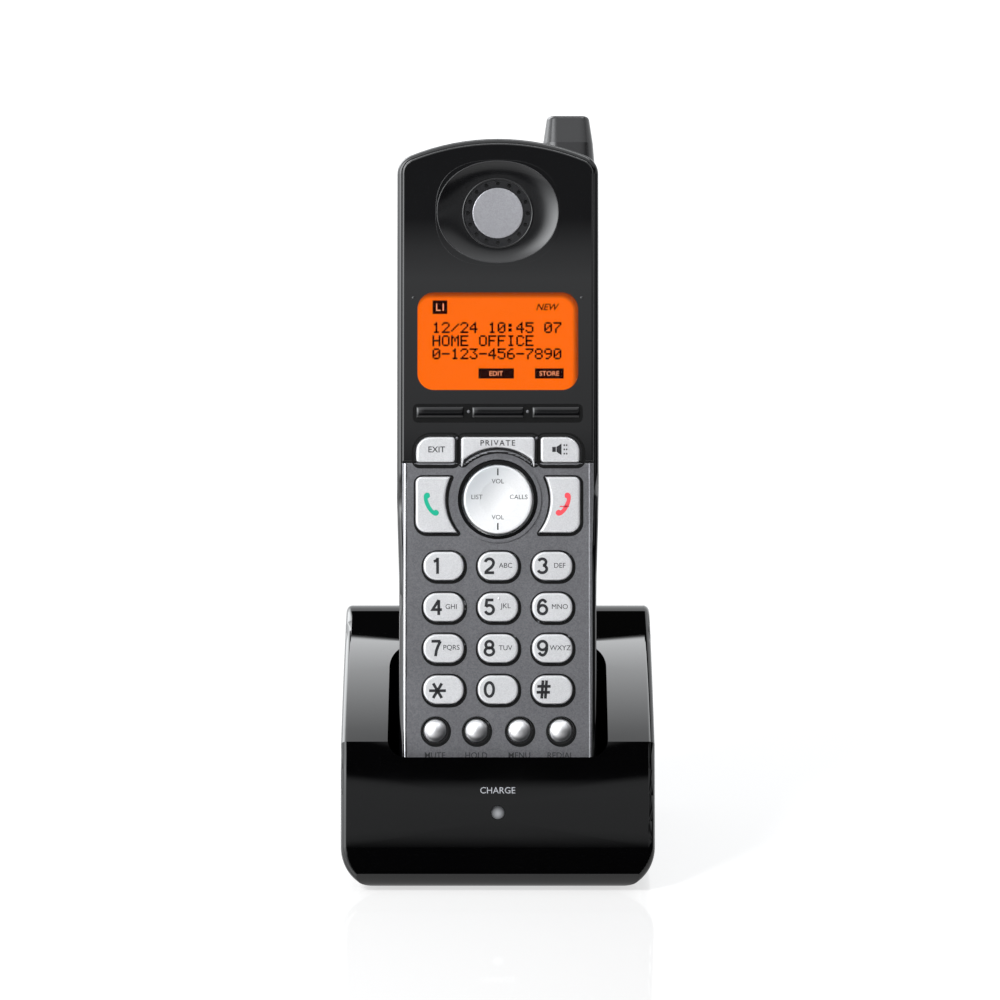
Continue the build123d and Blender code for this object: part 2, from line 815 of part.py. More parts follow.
def cradle_housing():
    outer = cradle_body(0)
    outer = round_edges(outer)
    back = handset_depth + seat_gap
    high = handset_length / 2
    tub = pocket_prism(pocket_half + tub_wall, pocket_corner + tub_wall, -face_offset, back + tub_wall,
                       floor_level(), high)
    room = cradle_body(cradle_wall) - in_cradle(tub)
    shell = outer - room
    seat_half = foot_width / 2 + guide_gap
    shell -= in_cradle(pocket_prism(seat_half, seat_corner, -seat_gap, back, -seat_gap, high))
    shell -= in_cradle(pocket_prism(pocket_half, pocket_corner, -seat_gap, back, guide_height, high))
    notch = Pos(0, lip_height + high / 2) * Rectangle(2 * pocket_half, high)
    notch = slab(notch, -cradle_depth, handset_depth / 2)
    notch = fillet(notch.edges().filter_by(Axis.Y).group_by(Axis.Z)[0], lip_corner)
    shell -= in_cradle(notch)
    opening = Pos(0, (base_front + base_back) / 2) * RectangleRounded(
        2 * plate_half, base_back - base_front, base_corner)
    shell -= extrude(opening, amount=base_top + fit_gap)
    for side in (-1, 1):
        shell -= in_cradle(contact_slot(side, floor_level() - 1, 0))
        shell += housing_post(side * post_side, post_front)
        shell += housing_post(side * post_side, post_rear)
        rib = block(side * post_side - post_rib / 2, side * post_side + post_rib / 2, post_rear, cradle_depth,
                    base_top + cradle_board_raise, base_top + post_height)
        shell += rib & cradle_body(cradle_wall / 2)
        for y in (post_front, post_rear):
            shell -= post(screw_shank + fit_gap / 2, side * post_side, y, 0, base_top + cradle_thread + 1)
    shell -= in_cradle(pipe_bore())
    jack_hole = Rot(90, 0, 0) * Cylinder(jack_collar + fit_gap, jack_depth)
    return one(shell - Pos(jack_side, cradle_depth, jack_axis()) * jack_hole)


def housing_post(x, y):
    beyond = y - handset_front - floor_level() * lean_sin
    ceiling = handset_rest + floor_level() * lean_cos - beyond * lean_tan
    inside_tub = y < handset_front + (handset_depth + seat_gap) * lean_cos
    return post(post_radius, x, y, base_top, ceiling + tub_wall / 2 if inside_tub else base_top + post_height)


def round_edges(body):
    crest = body.edges().filter_by(lambda e: abs(abs(e.center().X) - cradle_width / 2) < fit_gap)
    return fillet(crest, edge_round)


def jack_axis():
    return cradle_board_top + jack_height / 2


def base_plate():
    plate = Pos(0, (base_front + base_back) / 2) * RectangleRounded(
        2 * (plate_half - fit_gap), base_back - base_front - 2 * fit_gap, base_corner)
    plate = Pos(0, 0, foot_gap) * extrude(plate, amount=base_thickness)
    for side in (-1, 1):
        for y in (standoff_front, standoff_rear):
            plate += post(standoff_radius, side * standoff_side, y, base_top, base_top + cradle_board_raise)
        for y in (foot_front, foot_rear):
            plate -= post(foot_radius + fit_gap, side * foot_side, y, foot_gap - 1, foot_gap + foot_sunk)
        for y in (post_front, post_rear):
            plate -= post(screw_shank + fit_gap, side * post_side, y, 0, base_top + 1)
            plate -= post(cradle_screw_head + fit_gap, side * post_side, y, 0, foot_gap + cradle_screw_sink)
    return one(plate)


def cradle_screw(side, y):
    head_top = foot_gap + cradle_screw_sink
    x = side * post_side
    return post(cradle_screw_head, x, y, foot_gap + fit_gap, head_top) + post(
        screw_shank, x, y, head_top, base_top + cradle_thread)


def pipe_bore():
    return rod(pipe_radius + fit_gap, 0, pipe_level, -face_offset - 1, cradle_wall)


def light_pipe():
    run = in_cradle(rod(pipe_radius, 0, pipe_level, -face_offset, led_depth - handset_front + 1))
    leg_top = handset_rest + pipe_level * lean_cos - (led_depth - handset_front) * lean_tan
    leg = block(-pipe_leg / 2, pipe_leg / 2, led_depth - pipe_leg / 2, led_depth + pipe_leg / 2,
                cradle_board_top + led_height + fit_gap, leg_top)
    return one(run + leg)


def cradle_board():
    board = block(-cradle_board_half, cradle_board_half, cradle_board_front, cradle_board_back,
                  cradle_board_top - board_thickness, cradle_board_top)
    return one(board)


def dc_jack():
    face = cradle_depth - cradle_wall - 4
    body = block(jack_side - jack_width / 2, jack_side + jack_width / 2, face - jack_depth, face,
                 cradle_board_top, cradle_board_top + jack_height)
    along = Pos(jack_side, 0, jack_axis()) * Rot(90, 0, 0)
    collar_end = cradle_depth - jack_collar_reach
    body += Pos(0, (face + collar_end) / 2, 0) * along * Cylinder(jack_collar, collar_end - face)
    body -= Pos(0, collar_end - jack_bore_depth / 2, 0) * along * Cylinder(jack_bore, jack_bore_depth)
    pin_length = jack_bore_depth - 1
    pin_end = collar_end - 1
    body += Pos(0, pin_end - pin_length / 2, 0) * along * Cylinder(jack_pin, pin_length)
    return one(body)


# Handset nodes
handset = {
    "front_shell": front_shell(),
    "rear_shell": rear_shell(),
    "display_bezel": display_bezel(),
    "keypad_fascia": keypad_fascia(),
    "earpiece_grille": earpiece_grille(),
    "earpiece_cap": earpiece_cap(),
    "earpiece_receiver": one(rod(receiver_radius, 0, earpiece_height, web_back,
                                 web_back + receiver_thickness)),
    "display_window": display_window(),
    "lcd_panel": behind_window(web_front + window_flange_thickness + fit_gap / 2, panel_thickness),
    "keypad_membrane": keypad_membrane(),
    "main_board": main_board(),
    "microphone": one(rod(mic_radius, 0, mic_height, board_front - mic_thickness, board_front)),
    "loudspeaker": one(rod(loudspeaker_radius, 0, loudspeaker_height, rear_inner - loudspeaker_thickness,
                           rear_inner)),
    "battery_pack": battery_pack(),
    "battery_connector": battery_connector(),
    "battery_door": battery_door(),
    "antenna_cover": antenna_cover(),
    "antenna_element": post(element_radius, antenna_side, antenna_depth, element_low,
                            antenna_top - element_cover - fit_gap),
    "navigation_key": navigation_key(),
    "charge_contact_left": charge_contact(-1),
    "charge_contact_right": charge_contact(1),
    "contact_block": contact_block(),
}
tray_front = web_front + window_flange_thickness + panel_thickness + fit_gap
handset["backlight_tray"] = behind_window(tray_front, board_front - tray_front)
handset["navigation_pivot"] = one(pivot_ball(0))
for name, face in digit_faces.items():
    handset[name] = key(face, digit_proud)
for name, face in call_faces.items():
    handset[name] = key(face, call_key_proud)
for name, face in line_faces.items():
    handset[name] = key(face, line_key_proud)
for name, face in soft_faces.items():
    handset[name] = key(face, soft_key_proud)
for name, x in round_places.items():
    handset[name] = round_key(x)
handset["handset_contacts"] = group(contact_pad(side, 0) for side in (-1, 1))
handset["handset_screws"] = group(handset_screw(side, z) for side in (-1, 1) for z in (boss_low, boss_high))

# Cradle nodes
cradle = {
    "cradle_housing": cradle_housing(),
    "cradle_base_plate": base_plate(),
    "charge_light_pipe": light_pipe(),
    "indicator_led": block(-led_width / 2, led_width / 2, led_depth - led_width / 2,
                           led_depth + led_width / 2, cradle_board_top, cradle_board_top + led_height),
    "cradle_board": cradle_board(),
    "dc_jack": dc_jack(),
    "cradle_feet": group(post(foot_radius, side * foot_side, y, 0, foot_gap + foot_sunk)
                         for side in (-1, 1) for y in (foot_front, foot_rear)),
    "cradle_screws": group(cradle_screw(side, y) for side in (-1, 1) for y in (post_front, post_rear)),
}

for name, shape in handset.items():
    nodes[name] = handset_place * shape
for name, shape in cradle.items():
    nodes[name] = cradle_place * shape
for name, shape in nodes.items():
    export_step(shape, f"parts/{name}.step")

whole = Compound([solid for shape in nodes.values() for solid in shape.solids()]).bounding_box()
print("nodes", len(nodes), "box", whole.min, whole.max)
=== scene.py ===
import json
import math
import bpy
import bmesh
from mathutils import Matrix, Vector
from mathutils.bvhtree import BVHTree


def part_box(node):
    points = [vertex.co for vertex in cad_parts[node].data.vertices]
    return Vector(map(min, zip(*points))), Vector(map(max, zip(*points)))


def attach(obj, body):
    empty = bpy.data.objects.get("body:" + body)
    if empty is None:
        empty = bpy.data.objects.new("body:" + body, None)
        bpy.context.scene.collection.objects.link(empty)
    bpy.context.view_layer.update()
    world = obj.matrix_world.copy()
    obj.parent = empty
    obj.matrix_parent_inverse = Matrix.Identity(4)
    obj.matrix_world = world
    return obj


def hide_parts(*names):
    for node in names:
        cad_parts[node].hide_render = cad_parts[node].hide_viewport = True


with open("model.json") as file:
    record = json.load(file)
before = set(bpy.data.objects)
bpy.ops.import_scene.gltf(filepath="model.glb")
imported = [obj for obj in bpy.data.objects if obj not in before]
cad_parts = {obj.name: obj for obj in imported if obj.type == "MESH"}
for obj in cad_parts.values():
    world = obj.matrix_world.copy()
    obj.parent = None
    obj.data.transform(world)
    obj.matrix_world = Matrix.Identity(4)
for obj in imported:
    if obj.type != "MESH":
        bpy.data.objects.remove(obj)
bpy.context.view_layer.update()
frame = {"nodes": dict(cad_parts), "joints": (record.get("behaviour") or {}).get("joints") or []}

mm = 0.001


# Where things are: height and depth are measured along the leaning handset, from its foot and its face
joints = {joint["name"]: joint for joint in frame["joints"]}
across = Vector((1, 0, 0))
upHandset = Vector(joints["handset_lift"]["axis"])
intoFace = Vector(joints["key_5_press"]["axis"])


def lowestAlong(node, axis):
    return min(vertex.co.dot(axis) for vertex in frame["nodes"][node].data.vertices)


footLevel = lowestAlong("front_shell", upHandset)
faceLevel = lowestAlong("display_bezel", intoFace)
print("stage 1: frame loaded,", len(frame["nodes"]), "nodes")


def onHandset(x, height, depth=0.0):
    # millimetres across, up from the foot, into the face
    return across * x * mm + upHandset * (footLevel + height * mm) + intoFace * (faceLevel + depth * mm)


def centreOf(node):
    # (across, height) of a node's middle on the handset, in millimetres
    points = [vertex.co for vertex in frame["nodes"][node].data.vertices]
    xs = [point.x for point in points]
    heights = [point.dot(upHandset) for point in points]
    return (min(xs) + max(xs)) / 2 / mm, ((min(heights) + max(heights)) / 2 - footLevel) / mm


def turnOutwards(shaped, merge=0.0, smooth=None):
    # normals outwards; smooth tells which faces are shaded smooth
    fixed = bmesh.new()
    fixed.from_mesh(shaped)
    if merge:
        bmesh.ops.remove_doubles(fixed, verts=fixed.verts, dist=merge)
    bmesh.ops.recalc_face_normals(fixed, faces=fixed.faces)
    if smooth:
        for face in fixed.faces:
            face.smooth = smooth(face)
    fixed.to_mesh(shaped)
    fixed.free()


def skin(shape, rows, closed=False):
    # four-sided faces between each row of corners and the next
    for here, after in zip(rows, rows[1:] + (rows[:1] if closed else [])):
        for place in range(len(here)):
            shape.faces.new([here[place], here[place - 1], after[place - 1], after[place]])


def meshFrom(shape, name, outwards=True):
    if outwards:
        bmesh.ops.recalc_face_normals(shape, faces=shape.faces)
    shaped = bpy.data.meshes.new(name)
    shape.to_mesh(shaped)
    shape.free()
    return shaped


def addObject(name, data):
    made = bpy.data.objects.new(name, data)
    bpy.context.scene.collection.objects.link(made)
    return made


def placePiece(name, shaped, body):
    piece = addObject(name, shaped)
    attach(piece, body)
    return piece


mergeWithin = 0.0005 * mm


# Shader helpers
def addNode(tree, kind, values=None, **settings):
    node = tree.nodes.new("ShaderNode" + kind)
    for name, value in settings.items():
        setattr(node, name, value)
    for name, value in (values or {}).items():
        node.inputs[name].default_value = value
    return node


def join(tree, *links):
    # each link: from node, its output, to node, its input
    for source, output, target, place in links:
        tree.links.new(source.outputs[output], target.inputs[place])


def newGroup(name, inputs, output):
    # inputs with their starting values; a tuple is a colour
    group = bpy.data.node_groups.new(name, "ShaderNodeTree")
    for label, start in inputs.items():
        kind = "NodeSocketColor" if isinstance(start, tuple) else "NodeSocketFloat"
        socket = group.interface.new_socket(label, in_out="INPUT", socket_type=kind)
        socket.default_value = start
    kind = "NodeSocketColor" if output == "Color" else "NodeSocketFloat"
    group.interface.new_socket(output, in_out="OUTPUT", socket_type=kind)
    return group, group.nodes.new("NodeGroupInput"), group.nodes.new("NodeGroupOutput")


def objectPattern(group, kind, scaleSocket, values=None):
    coordinates = addNode(group, "TexCoord")
    pattern = addNode(group, kind, values)
    join(group, (coordinates, "Object", pattern, "Vector"))
    group.links.new(scaleSocket, pattern.inputs["Scale"])
    return pattern


def makeFineGrain():
    # tiny even relief of moulded or sprayed surfaces
    group, given, result = newGroup("fineGrain", {"Scale": 4000.0}, "Height")
    noise = objectPattern(group, "TexNoise", given.outputs["Scale"], {"Detail": 3.0})
    join(group, (noise, "Fac", result, "Height"))
    return group


def makeHandlingMarks():
    # slow cloudy change between two roughness values, as left by hands and dust
    group, given, result = newGroup(
        "handlingMarks", {"Scale": 60.0, "Clean": 0.1, "Touched": 0.2}, "Roughness"
    )
    noise = objectPattern(group, "TexNoise", given.outputs["Scale"], {"Detail": 5.0, "Roughness": 0.6})
    spread = addNode(group, "MapRange", {"From Min": 0.42, "From Max": 0.72})
    join(
        group, (noise, "Fac", spread, "Value"), (given, "Clean", spread, "To Min"),
        (given, "Touched", spread, "To Max"), (spread, "Result", result, "Roughness"),
    )
    return group


def makeMetalFlake():
    # sprayed metallic paint: each flake a little lighter or darker
    group, given, result = newGroup(
        "metalFlake", {"Scale": 3000.0, "Dark": (0.1, 0.1, 0.1, 1), "Light": (0.2, 0.2, 0.2, 1)}, "Color"
    )
    flakes = objectPattern(group, "TexVoronoi", given.outputs["Scale"])
    split = addNode(group, "SeparateColor")
    mix = addNode(group, "Mix", data_type="RGBA")
    join(
        group, (flakes, "Color", split, "Color"), (split, "Red", mix, 0), (given, "Dark", mix, 6),
        (given, "Light", mix, 7), (mix, 2, result, "Color"),
    )
    return group


def makeEdgeMask():
    # 0 on flats, 1 where an edge turns within the given radius
    group, given, result = newGroup("wornEdge", {"Radius": 0.3 * mm}, "Edge")
    rounded = addNode(group, "Bevel", samples=4)
    plain = addNode(group, "NewGeometry")
    compare = addNode(group, "VectorMath", operation="DOT_PRODUCT")
    mask = addNode(group, "MapRange", {"From Min": 0.99, "From Max": 0.85})
    join(
        group, (given, "Radius", rounded, "Radius"), (rounded, "Normal", compare, 0),
        (plain, "Normal", compare, 1), (compare, "Value", mask, "Value"),
        (mask, "Result", result, "Edge"),
    )
    return group


fineGrain = makeFineGrain()
handlingMarks = makeHandlingMarks()
metalFlake = makeMetalFlake()
wornEdge = makeEdgeMask()


def placeGroup(tree, group, values):
    node = tree.nodes.new("ShaderNodeGroup")
    node.node_tree = group
    for name, value in values.items():
        node.inputs[name].default_value = value
    return node


def newFinish(name, fixed):
    finish = bpy.data.materials.new(name)
    finish.use_nodes = True
    shader = finish.node_tree.nodes["Principled BSDF"]
    for socket, value in fixed.items():
        shader.inputs[socket].default_value = value
    return finish, finish.node_tree, shader


def addRelief(tree, shader, scale, height):
    grain = placeGroup(tree, fineGrain, {"Scale": scale})
    bump = addNode(tree, "Bump", {"Strength": 1.0, "Distance": height})
    join(tree, (grain, "Height", bump, "Height"), (bump, "Normal", shader, "Normal"))


def addMarks(tree, shader, scale, clean, touched):
    marks = placeGroup(tree, handlingMarks, {"Scale": scale, "Clean": clean, "Touched": touched})
    join(tree, (marks, "Roughness", shader, "Roughness"))


def blendColours(tree, amount, low, high, target):
    # from low to high as amount goes from 0 to 1; each is a colour or a socket
    mix = addNode(tree, "Mix", data_type="RGBA")
    for place, colour in ((6, low), (7, high)):
        if isinstance(colour, tuple):
            mix.inputs[place].default_value = (*colour, 1)
        else:
            tree.links.new(colour, mix.inputs[place])
    tree.links.new(amount, mix.inputs[0])
    tree.links.new(mix.outputs[2], target)
    return mix.outputs[2]


def twoTone(tree, shader, dark, light, scale):
    # slow drift between two close shades
    coordinates = addNode(tree, "TexCoord")
    noise = addNode(tree, "TexNoise", {"Scale": scale, "Detail": 2.0})
    join(tree, (coordinates, "Object", noise, "Vector"))
    return blendColours(tree, noise.outputs["Fac"], dark, light, shader.inputs["Base Color"])


# lighter colour along every edge within the given radius
def lightenEdges(tree, shader, colourSocket, edgeColour, radius):
    edgeShare = placeGroup(tree, wornEdge, {"Radius": radius})
    blendColours(tree, edgeShare.outputs["Edge"], colourSocket, edgeColour, shader.inputs["Base Color"])


edgeLight = {"times": 2.2, "plastic": 0.25, "metal": 0.2}


def glossPlastic(name, dark, light, clean, touched):
    finish, tree, shader = newFinish(name, {"IOR": 1.5, "Specular IOR Level": 0.5})
    tone = twoTone(tree, shader, dark, light, 90.0)
    edge = tuple(edgeLight["times"] * value for value in light)
    lightenEdges(tree, shader, tone, edge, edgeLight["plastic"] * mm)
    addMarks(tree, shader, 55.0, clean, touched)
    return finish


def satinPlastic(name, dark, light, clean, touched, relief):
    finish, tree, shader = newFinish(name, {"IOR": 1.46})
    twoTone(tree, shader, dark, light, 140.0)
    addMarks(tree, shader, 90.0, clean, touched)
    addRelief(tree, shader, 1800.0, relief)
    return finish


def metalPaint(name, dark, light, metallic, clean, touched, flakeScale, relief, edge=None):
    finish, tree, shader = newFinish(name, {"Metallic": metallic, "IOR": 1.5})
    flake = placeGroup(tree, metalFlake, {"Scale": flakeScale, "Dark": (*dark, 1), "Light": (*light, 1)})
    join(tree, (flake, "Color", shader, "Base Color"))
    if edge:
        lightenEdges(tree, shader, flake.outputs["Color"], edge, edgeLight["metal"] * mm)
    addMarks(tree, shader, 80.0, clean, touched)
    addRelief(tree, shader, flakeScale, relief)
    return finish


def paintedShadeMetal(node, tone):
    # bright metal with painted shade: deeper towards one side of the node's own middle
    finish, tree, shader = newFinish(node + "Metal", {"Metallic": tone["metallic"], "IOR": 1.5})
    flake = placeGroup(tree, metalFlake, {
        "Scale": 5000.0, "Dark": (*tone["dark"], 1), "Light": (*tone["light"], 1)
    })
    x, height = centreOf(node)
    sideways, upwards = tone["towards"]
    coordinates = addNode(tree, "TexCoord")
    aside = addNode(tree, "VectorMath", {1: onHandset(x, height)}, operation="SUBTRACT")
    along = addNode(tree, "VectorMath", {
        1: (across * sideways + upHandset * upwards).normalized()
    }, operation="DOT_PRODUCT")
    fade = addNode(tree, "MapRange", {
        "From Min": tone["from"] * mm, "From Max": tone["to"] * mm
    }, interpolation_type="SMOOTHSTEP")
    join(
        tree, (coordinates, "Object", aside, 0), (aside, "Vector", along, 0),
        (along, "Value", fade, "Value"),
    )
    bright, target = flake.outputs["Color"], shader.inputs["Base Color"]
    blendColours(tree, fade.outputs["Result"], bright, tone["shade"], target)
    addMarks(tree, shader, 80.0, tone["clean"], tone["touched"])
    addRelief(tree, shader, 5000.0, 0.002 * mm)
    return finish


# painted shade: the round keys darken towards the lower right, the navigation key towards the upper left of
# its dish
domePaintedShade = {
    "dark": (0.72, 0.72, 0.73), "light": (0.8, 0.8, 0.81), "shade": (0.16, 0.16, 0.168),
    "towards": (1.0, -1.0), "from": -0.7, "to": 2.3, "metallic": 1.0, "clean": 0.46, "touched": 0.52,
}
navPaintedShade = {
    "dark": (0.84, 0.845, 0.855), "light": (0.89, 0.895, 0.905), "shade": (0.5, 0.525, 0.55),
    "towards": (-1.0, 1.0), "from": -3.0, "to": 9.0, "metallic": 0.3, "clean": 0.36, "touched": 0.42,
}


def printedInk(name, dark, light, sheen=0.5):
    finish, tree, shader = newFinish(name, {"Roughness": 0.45, "Specular IOR Level": sheen})
    twoTone(tree, shader, dark, light, 900.0)
    addRelief(tree, shader, 5000.0, 0.004 * mm)
    return finish


def glowing(name, centre, rim, strength, scale=40.0):
    finish, tree, shader = newFinish(name, {"Roughness": 0.5, "Emission Strength": strength})
    tone = twoTone(tree, shader, centre, rim, scale)
    tree.links.new(tone, shader.inputs["Emission Color"])
    return finish


def lensPaintedGlow(name, centre, rim):
    # small lamp window with painted glow and shade: pale in the middle, dark at its rim
    finish, tree, shader = newFinish(name, {"Roughness": 0.25})
    low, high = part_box("charge_light_pipe")
    middle = ((low[0] + high[0]) / 2, low[1], high[2] - lens["radius"] * mm)
    coordinates = addNode(tree, "TexCoord")
    distance = addNode(tree, "VectorMath", {1: middle}, operation="DISTANCE")
    fade = addNode(tree, "MapRange", {"From Max": lens["radius"] * mm})
    join(tree, (coordinates, "Object", distance, 0), (distance, "Value", fade, "Value"))
    blendColours(tree, fade.outputs["Result"], centre, rim, shader.inputs["Base Color"])
    return finish


lens = {"radius": 1.65}


def clearPane(name):
    finish, tree, shader = newFinish(name, {"IOR": 1.12, "Transmission Weight": 1.0})
    twoTone(tree, shader, (0.98, 0.98, 0.98), (1.0, 1.0, 1.0), 60.0)
    addMarks(tree, shader, 120.0, 0.0, 0.008)
    return finish


def displayGlow(name, centre, rim, strength):
    # amber backlight with painted shade along the window's edges, deepest at the top and right
    finish, tree, shader = newFinish(name, {
        "Base Color": (0.006, 0.001, 0.0004, 1), "Roughness": 0.5, "Specular IOR Level": 0.0
    })
    x, height = centreOf("display_window")
    middle = onHandset(x + glowShade["shiftX"], height + glowShade["shiftUp"])
    coordinates = addNode(tree, "TexCoord")
    aside = addNode(tree, "VectorMath", {1: middle}, operation="SUBTRACT")
    join(tree, (coordinates, "Object", aside, 0))
    beyond = addNode(tree, "CombineXYZ")
    for socket, axis, half in (
        ("X", across, glowShade["halfWidth"]), ("Y", upHandset, glowShade["halfHeight"]),
    ):
        along = addNode(tree, "VectorMath", {1: axis}, operation="DOT_PRODUCT")
        size = addNode(tree, "Math", operation="ABSOLUTE")
        past = addNode(tree, "Math", {1: half * mm}, operation="SUBTRACT")
        kept = addNode(tree, "Math", {1: 0.0}, operation="MAXIMUM")
        join(
            tree, (aside, "Vector", along, 0), (along, "Value", size, 0), (size, 0, past, 0),
            (past, 0, kept, 0), (kept, 0, beyond, socket),
        )
    distance = addNode(tree, "VectorMath", operation="LENGTH")
    shade = addNode(tree, "MapRange", {
        "From Min": glowShade["start"] * mm, "From Max": glowShade["end"] * mm
    }, interpolation_type="SMOOTHSTEP")
    join(tree, (beyond, "Vector", distance, 0), (distance, "Value", shade, "Value"))
    blendColours(tree, shade.outputs["Result"], centre, rim, shader.inputs["Emission Color"])
    shader.inputs["Emission Strength"].default_value = strength
    return finish


# painted shade of the display's edges: its box, its shift, and where it starts and ends
glowShade = {
    "halfWidth": 16.0, "halfHeight": 8.4, "shiftX": -0.6, "shiftUp": -0.7, "start": 2.9, "end": 4.3,
}
finishes = {
    "case_black": glossPlastic("caseBlack", (0.0015, 0.0015, 0.002), (0.003, 0.003, 0.0035), 0.05, 0.11),
    "bezel_black": glossPlastic("bezelBlack", (0.001, 0.001, 0.0014), (0.002, 0.002, 0.0025), 0.006, 0.02),
    "fascia_gunmetal": metalPaint(
        "fasciaGunmetal", (0.122, 0.123, 0.131), (0.172, 0.173, 0.185), 0.5, 0.36, 0.44, 3600.0, 0.006 * mm
    ),
    # painted highlight: a lighter, shinier finish that only the left bead wears
    "bead_painted_highlight": metalPaint(
        "beadBright", (0.42, 0.42, 0.44), (0.5, 0.5, 0.52), 1.0, 0.16, 0.24, 4200.0, 0.002 * mm
    ),
    "bowl_satin": glossPlastic("bowlSatin", (0.002, 0.002, 0.0025), (0.004, 0.004, 0.0045), 0.17, 0.23),
    "dark_ring": satinPlastic("ringDark", (0.006, 0.006, 0.007), (0.01, 0.01, 0.011), 0.25, 0.35, 0.01 * mm),
    "satin_silver": metalPaint(
        "satinSilver", (0.31, 0.31, 0.33), (0.38, 0.38, 0.405), 0.6, 0.34, 0.42, 4200.0, 0.006 * mm
    ),
    "inner_black": satinPlastic(
        "innerBlack", (0.004, 0.004, 0.004), (0.008, 0.008, 0.008), 0.45, 0.6, 0.02 * mm
    ),
    "inner_white": satinPlastic("innerWhite", (0.6, 0.6, 0.58), (0.68, 0.68, 0.66), 0.4, 0.5, 0.01 * mm),
    "window_clear": clearPane("windowClear"),
    "display_amber": displayGlow("displayAmber", (1.0, 0.147, 0.003), (0.3, 0.045, 0.004), 1.0),
    "membrane_grey": satinPlastic(
        "membraneGrey", (0.012, 0.012, 0.013), (0.02, 0.02, 0.021), 0.6, 0.7, 0.01 * mm
    ),
    "board_green": satinPlastic("boardGreen", (0.01, 0.09, 0.03), (0.015, 0.13, 0.045), 0.3, 0.4, 0.01 * mm),
    "battery_wrap": satinPlastic("batteryWrap", (0.05, 0.12, 0.3), (0.07, 0.16, 0.36), 0.25, 0.35, 0.01 * mm),
    "antenna_grey": glossPlastic("antennaGrey", (0.012, 0.012, 0.013), (0.018, 0.018, 0.019), 0.16, 0.24),
    "spring_steel": metalPaint(
        "springSteel", (0.5, 0.5, 0.5), (0.62, 0.62, 0.6), 1.0, 0.2, 0.3, 2500.0, 0.004 * mm
    ),
    "contact_gold": metalPaint(
        "contactGold", (0.75, 0.52, 0.2), (0.85, 0.62, 0.27), 1.0, 0.18, 0.28, 2500.0, 0.003 * mm
    ),
    "key_silver": metalPaint(
        "keySilver", (0.56, 0.565, 0.58), (0.66, 0.665, 0.68), 0.25, 0.32, 0.4, 5200.0, 0.004 * mm,
        edge=(0.86, 0.86, 0.88),
    ),
    "key_black": glossPlastic("keyBlack", (0.0015, 0.0015, 0.002), (0.003, 0.003, 0.0035), 0.06, 0.12),
    "round_chrome": metalPaint(
        "roundChrome", (0.72, 0.72, 0.73), (0.8, 0.8, 0.81), 1.0, 0.4, 0.46, 5000.0, 0.002 * mm
    ),
    "cradle_black": glossPlastic(
        "cradleBlack", (0.0005, 0.0005, 0.0006), (0.001, 0.001, 0.0012), 0.015, 0.035
    ),
    "base_black": satinPlastic(
        "baseBlack", (0.008, 0.008, 0.009), (0.014, 0.014, 0.015), 0.4, 0.55, 0.03 * mm
    ),
    "light_lens": lensPaintedGlow("lightLens", (0.42, 0.43, 0.45), (0.04, 0.041, 0.044)),
    "led_white": glowing("ledWhite", (0.5, 0.52, 0.54), (0.6, 0.62, 0.64), 0.1, 400.0),
    "foot_rubber": satinPlastic(
        "footRubber", (0.015, 0.015, 0.015), (0.025, 0.025, 0.025), 0.7, 0.85, 0.03 * mm
    ),
}
for piece in frame["nodes"].values():
    piece.data.materials[0] = finishes[piece.data.materials[0].name]
# the round keys and the navigation key get their painted shade here
shaded = {
    "mute_key": domePaintedShade, "hold_key": domePaintedShade, "menu_key": domePaintedShade, "redial_key": domePaintedShade,
    "navigation_key": navPaintedShade,
}
for node, tone in shaded.items():
    frame["nodes"][node].data.materials[0] = paintedShadeMetal(node, tone)
print("stage 2: finishes,", len(finishes))

inks = {
    "key": printedInk("inkKey", (0.014, 0.014, 0.016), (0.024, 0.024, 0.027), 0.3),
    "fascia": printedInk("inkFascia", (0.012, 0.012, 0.013), (0.022, 0.022, 0.024)),
    "talk": printedInk("inkTalk", (0.003, 0.33, 0.2), (0.006, 0.4, 0.25)),
    "end": printedInk("inkEnd", (0.72, 0.06, 0.08), (0.82, 0.09, 0.11)),
    "cradle": printedInk("inkCradle", (0.36, 0.37, 0.4), (0.44, 0.45, 0.48)),
    "lcd": printedInk("inkDisplay", (0.008, 0.0008, 0.0005), (0.014, 0.0012, 0.0008), 0.0),
    # painted shadow: flat black for the rings round the keys and the band under the soft keys
    "shade": printedInk("inkShade", (0.001, 0.001, 0.001), (0.002, 0.002, 0.002), 0.15),
    "lit": glowing("inkLit", (0.55, 0.16, 0.06), (0.62, 0.2, 0.08), 0.5, 900.0),
}

# Legends printed on keys and panels
printing = {
    "thickness": 0.05, "sunk": 0.03, "castFrom": 8.0, "cornerSteps": 4, "cell": 0.55, "mostFall": 0.8,
    "capShare": 0.72, "chargeTall": 1.6, "chargeHeight": 1.5,
}


def meshOf(curve):
    curveObject = addObject("letters", curve)
    bpy.context.view_layer.update()
    shaped = bpy.data.meshes.new_from_object(curveObject.evaluated_get(bpy.context.evaluated_depsgraph_get()))
    bpy.data.objects.remove(curveObject)
    bpy.data.curves.remove(curve)
    return shaped


def wordMesh(words, height, bold=0.0, spacing=1.0):
    # flat letters about their middle, in millimetres, with a thickness along z from 0 to 1
    letters = bpy.data.curves.new("letters", "FONT")
    letters.body = words
    letters.size = height / printing["capShare"]
    letters.align_x = "CENTER"
    letters.align_y = "CENTER"
    letters.offset = bold
    letters.space_character = spacing
    letters.extrude = 0.5
    letters.resolution_u = printing["cornerSteps"]
    shaped = meshOf(letters)
    xs = [vertex.co.x for vertex in shaped.vertices]
    ys = [vertex.co.y for vertex in shaped.vertices]
    middle = Vector(((min(xs) + max(xs)) / 2, (min(ys) + max(ys)) / 2, -0.5))
    for vertex in shaped.vertices:
        vertex.co -= middle
    return shaped


